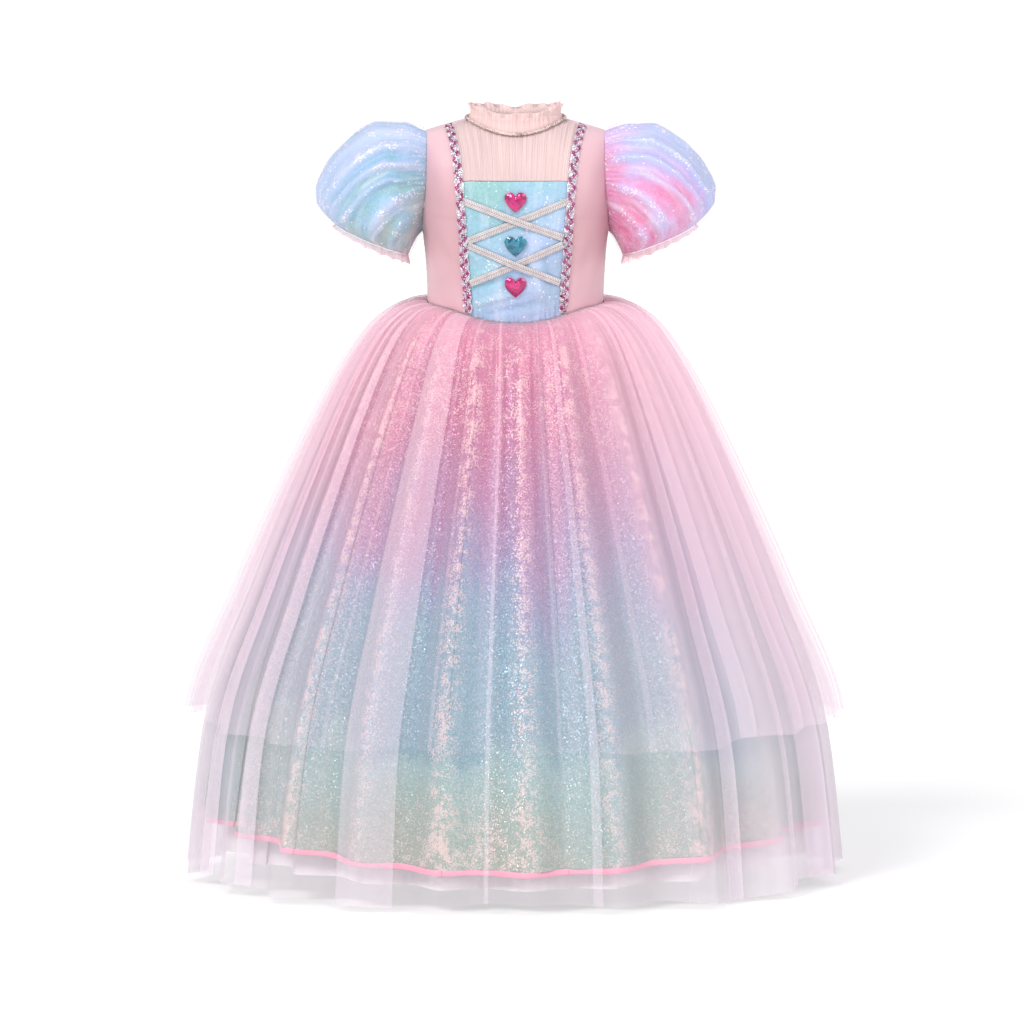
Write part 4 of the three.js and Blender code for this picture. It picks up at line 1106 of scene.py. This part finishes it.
def faceted_heart(name, z):
    """Rings of the outline, each drawn in and raised, joined by flat facets under a flat table."""
    outline = heart_outline(7)
    centre = np.array([0, 0.12])
    # size of the ring, height, turn by half a facet
    rings = [(0.96, 0.0, 0), (1.0, 1.0, 0), (1.0, 1.7, 0), (0.8, 3.4, 1), (0.55, 4.6, 0)]
    flat_w, flat_h = HEART_WIDTH / 2, HEART_HEIGHT / 2
    points = []
    for size, height, half_turn in rings:
        ring = outline if not half_turn else (outline + np.roll(outline, -1, 0)) / 2
        ring = centre + (ring - centre) * size
        points.append(np.concatenate([ring * [flat_w, flat_h], np.full((len(ring), 1), height)], 1))
    count = len(outline)
    corners = []
    for level in range(len(rings) - 1):
        low, high = level * count, (level + 1) * count
        shift = rings[level + 1][2] - rings[level][2]
        for i in range(count):
            j = (i + 1) % count
            if shift == 0:
                corners.append((low + i, low + j, high + j, high + i))
            elif shift > 0:
                corners += [(low + i, low + j, high + i), (low + j, high + j, high + i)]
            else:
                corners += [(low + i, high + j, high + i), (low + i, low + j, high + j)]
    top = (len(rings) - 1) * count
    points.append(np.array([[centre[0] * flat_w, centre[1] * flat_h, 4.9]]))
    corners += [(top + i, top + (i + 1) % count, len(rings) * count) for i in range(count)]
    points = np.concatenate(points)
    low, high = on_front(0, z - 12), on_front(0, z + 12)
    up = unit_length(high - low)
    out = np.array([0, -up[2], up[1]])
    across = np.array([1.0, 0, 0])
    seat = on_front(0, z) + out * 0.5
    placed = seat + points[:, :1] * across + points[:, 1:2] * up + points[:, 2:3] * out
    return mesh_object(name, (placed * MM).tolist(), corners)


for node, z, material, slot in (
        ("heart_top", -80, magenta_gem, "magenta_gem"),
        ("heart_middle", -136, teal_gem, "teal_gem"),
        ("heart_bottom", -189, magenta_gem, "magenta_gem")):
    sew(faceted_heart(node + "_gem", z), slot, material, node)

# Puff sleeves.
# Each sleeve is film cloth gathered into the armhole and the cuff, under a puff of sheer net. The left one
# runs from pale blue to mint and the right one from lilac to rose, and a narrow frill edges the cuff.

# outer x, z, underarm x, z, half depth, from the armhole to the cuff
SLEEVE = np.array([
    (122, 0, 122, -128, 46),
    (140, 9, 126, -137, 64),
    (178, 9, 129, -143, 80),
    (222, -22, 132, -149, 86),
    (250, -64, 134, -154, 80),
    (252, -92, 135, -157, 68),
    (229, -119, 136, -157, 47),
], float)
SLEEVE_PARTS = ("top", "front", "under", "back")
SHOULDER_RIDGE, SEAM_TUCK = 3, -0.6


def side_x(y, z, front):
    """How far out the body of the dress reaches at some depth and height."""
    deep = np.maximum(np.abs(y), SHOULDER_RIDGE)
    low_rise = rise_at(np.full(z.shape, 0.9), z)
    widest = np.where(z > CHEST_Z, FIGURE[-1, HALF_WIDTH] + 8, figure(HALF_WIDTH, np.minimum(low_rise, 1)))

    def deeper(x):
        rise = rise_at(x, z, front)
        return np.abs(on_figure(angle_at(x, rise), rise, front)[..., 1]) > deep
    return search(deeper, np.full(z.shape, FIGURE[-1, HALF_WIDTH] / 2), widest)


def armhole_x(y, z):
    """The same round the armhole, passing smoothly from front to back over the shoulder."""
    share = np.clip((y + 3 * SHOULDER_RIDGE) / (6 * SHOULDER_RIDGE), 0, 1)
    share = share**2 * (3 - 2 * share)
    return side_x(y, z, True) * (1 - share) + side_x(y, z, False) * share


def away(turn):
    """The share of its height that a fold keeps: little at the underarm, where sleeve and body are close."""
    share = np.clip((np.cos(turn) + 0.95) / 0.65, 0, 1)
    return 0.2 + 0.8 * share**2 * (3 - 2 * share)


def on_sleeve(turn, station, fold=0.0):
    """Points of the right sleeve: turn is 0 at the top, and station 0 at the armhole and 1 at the cuff."""
    part = station * (len(SLEEVE) - 1)
    out_x, out_z, under_x, under_z, depth = (by_row(SLEEVE, column, part) for column in range(5))
    fold = fold * away(turn)
    half = np.hypot(out_x - under_x, out_z - under_z) / 2 + fold
    lie = np.arctan2(out_z - under_z, out_x - under_x)
    x = (out_x + under_x) / 2 + half * np.cos(turn) * np.cos(lie)
    y = -(depth + fold) * np.sin(turn)
    z = (out_z + under_z) / 2 + half * np.cos(turn) * np.sin(lie)
    turn = np.broadcast_to(turn, x.shape)
    seam_y = -ARMHOLE_HALF_DEPTH * np.sin(turn[0])
    seam_z = ARMHOLE_Z + ARMHOLE_HALF_HEIGHT * np.cos(turn[0])
    seam = armhole_x(seam_y, seam_z) + SEAM_TUCK
    at_seam = np.maximum(1 - part, 0) ** 2
    return np.stack([x + (seam[None, :] - x) * at_seam, y, z], -1)


# turn at the armhole and at the cuff, width in degrees, height, where along the sleeve it starts and ends
SLEEVE_FOLDS = [
    (14, 5, 11, 2.6, 0.0, 0.9), (27, 12, 7, -2.2, 0.1, 0.7), (38, 24, 5, 4.8, 0.0, 1.0),
    (50, 29, 8, -4.2, 0.05, 0.9), (63, 33, 4.5, 5.4, 0.0, 0.95), (70, 44, 7, -4.6, 0.0, 0.85),
    (77, 57, 4, 4.2, 0.1, 1.0), (84, 71, 9, -4.4, 0.05, 0.95), (93, 88, 5, 5.0, 0.0, 0.8),
    (101, 96, 4, 2.6, 0.35, 1.0), (108, 108, 8, -3.4, 0.1, 1.0), (117, 121, 5, 4.2, 0.0, 0.9),
    (131, 139, 7, -2.6, 0.2, 1.0), (146, 150, 6, 2.8, 0.0, 1.0), (-10, -6, 9, -2.4, 0.0, 0.6),
    (-28, -17, 6, 4.4, 0.0, 0.9), (-46, -28, 8, -3.8, 0.1, 1.0), (-59, -41, 5, 5.0, 0.0, 1.0),
    (-74, -60, 9, -4.0, 0.0, 0.8), (-88, -83, 5, 4.4, 0.1, 1.0), (-104, -99, 8, -3.2, 0.0, 1.0),
    (-119, -124, 6, 4.0, 0.0, 0.85), (-141, -146, 7, 2.6, 0.15, 1.0),
]


def sleeve_folds(turn, station, shift=0.0, gathers=64, height=1.0):
    """The listed folds, with fine gathers at the armhole and at the cuff."""
    total = 0.0
    for at, cuff_at, width, high, start, end in SLEEVE_FOLDS:
        lies = at + shift + (cuff_at - at) * station + 4 * np.sin(station * 3.3 + at)
        off = degrees_off(turn, lies)
        reach = np.clip((station - start) / 0.18, 0, 1) * np.clip((end - station) / 0.22, 0, 1)
        total = total + high * bell(off, width) * reach
    lumps = np.sin(9 * turn + 13 * station + 3 * np.sin(5 * turn)) * np.sin(12 * station + 4 * turn + 1.3)
    small = np.sin(23 * turn - 19 * station + 2 * np.sin(7 * turn)) * np.sin(27 * station + 9 * turn)
    total = total + (1.3 * lumps + 0.6 * small) * np.sin(np.pi * np.clip(station, 0, 1)) ** 0.7
    close = 1.1 * bell(station, 0.2) * np.clip(station / 0.05, 0.2, 1) + bell(1 - station, 0.12)
    pleat = np.cos(gathers * turn + 2 * np.sin(5 * turn) + shift) * (0.7 + 0.3 * np.sin(9 * turn))
    return total * height + close * pleat


SLEEVE_FILM = {
    "left": film_material("blue film cloth", (0.75, 0, -0.66), -0.2, 0.0, [
        (0.0, rgb(186, 204, 238)), (0.3, rgb(160, 192, 228)), (0.5, rgb(136, 182, 216)),
        (0.68, rgb(108, 176, 200)), (0.85, rgb(126, 180, 176)), (1.0, rgb(166, 176, 168))],
        0.26, 560.0, 0.38),
    "right": film_material("rose film cloth", (-0.55, 0, -0.84), -0.15, 0.03, [
        (0.0, rgb(160, 194, 228)), (0.3, rgb(164, 184, 230)), (0.48, rgb(178, 174, 228)),
        (0.62, rgb(204, 168, 222)), (0.76, rgb(222, 136, 192)), (0.9, rgb(224, 90, 152)),
        (1.0, rgb(218, 76, 138))], 0.15, 560.0, 0.38),
}
sleeve_net, tree, shader = new_material("sleeve net", Roughness=0.7, Sheen_Weight=0.3, Specular_IOR_Level=0.3)
gather = use(tree, streaks, Across=110.0, Along=10.0, Contrast=2.6)["Mask"]
feed(tree, shader, Base_Color=blend_colours(tree, gather, rgb(246, 226, 240), rgb(250, 240, 248)),
     Alpha=spread(tree, gather, 0.07, 0.22), Normal=bumped(tree, gather, 0.2, 0.001))
frill_cloth, tree, shader = new_material("frill cloth", Roughness=0.6, Sheen_Weight=0.3)
edge = use(tree, streaks, Across=260.0, Along=30.0, Contrast=2.0)["Mask"]
feed(tree, shader, Base_Color=blend_colours(tree, edge, rgb(248, 206, 220), rgb(250, 232, 234)),
     Alpha=spread(tree, edge, 0.7, 0.95))

turn = (np.arange(420) / 420 * 2 * np.pi)[None, :]
for side, sign in (("right", 1), ("left", -1)):
    mirror = np.array([sign, 1, 1])
    shift = 0.0 if sign > 0 else 7.0
    station = np.linspace(0, 1, 64)[:, None]
    middle = on_sleeve(turn, station).mean(1, keepdims=True) * mirror
    folds = sleeve_folds(turn, station, shift)
    shape = on_sleeve(turn, station, folds - 0.8) * mirror
    # The crest mark is how high each point stands on its folds; the film material paints highlight on crests
    # and shade in hollows from it.
    crest = np.clip(0.42 + folds * 0.12, 0, 1)
    piece = cloth("sleeve_" + side + "_film", shape, closed=True, marks={"crest": crest})
    nodes = ["sleeve_" + side + "_" + part for part in SLEEVE_PARTS]
    sew(piece, "iridescent_cloth", SLEEVE_FILM[side], *nodes)

    station = np.linspace(0, 0.985, 44)[:, None]
    stand = 1.9 + 5 * away(turn) * np.sin(np.pi * np.minimum(station, 1)) ** 0.7
    net_folds = sleeve_folds(turn, station, shift + 11, 74, 0.55)
    shape = on_sleeve(turn, station, net_folds * 0.55) * mirror
    piece = cloth("sleeve_tulle_" + side + "_net", raised(shape, stand, middle.mean(0), True), closed=True)
    sew(piece, "pink_tulle", sleeve_net, "sleeve_tulle_" + side)

    cuff_station = np.array([[1.0]])
    top, under = (on_sleeve(np.array([[angle]]), cuff_station)[0, 0] for angle in (0.0, np.pi))
    centre = (top + under) / 2
    down = unit_length(np.array([top[2] - under[2], 0, under[0] - top[0]]))
    base = on_sleeve(turn, cuff_station)[0]
    out = unit_length(base - centre)
    level = np.linspace(0, 1, 14)[:, None, None]
    angle = turn[0][None, :, None]
    scallop = np.cos(23 * angle + 1.4 * np.sin(4 * angle))
    tucked = 1 - 0.72 * (1 + np.cos(angle)) / 2
    flare = level * (5 + 2.4 * scallop + 0.9 * np.cos(61 * angle)) * tucked
    drop = 0.6 + (9.4 + 1.3 * np.cos(17 * angle)) * level * (0.25 + 0.75 * tucked)
    frill = (base[None] + down * drop + out[None] * flare) * mirror
    piece = cloth("cuff_" + side + "_frill", frill, closed=True)
    sew(piece, "cuff_frill", frill_cloth, "cuff_" + side)
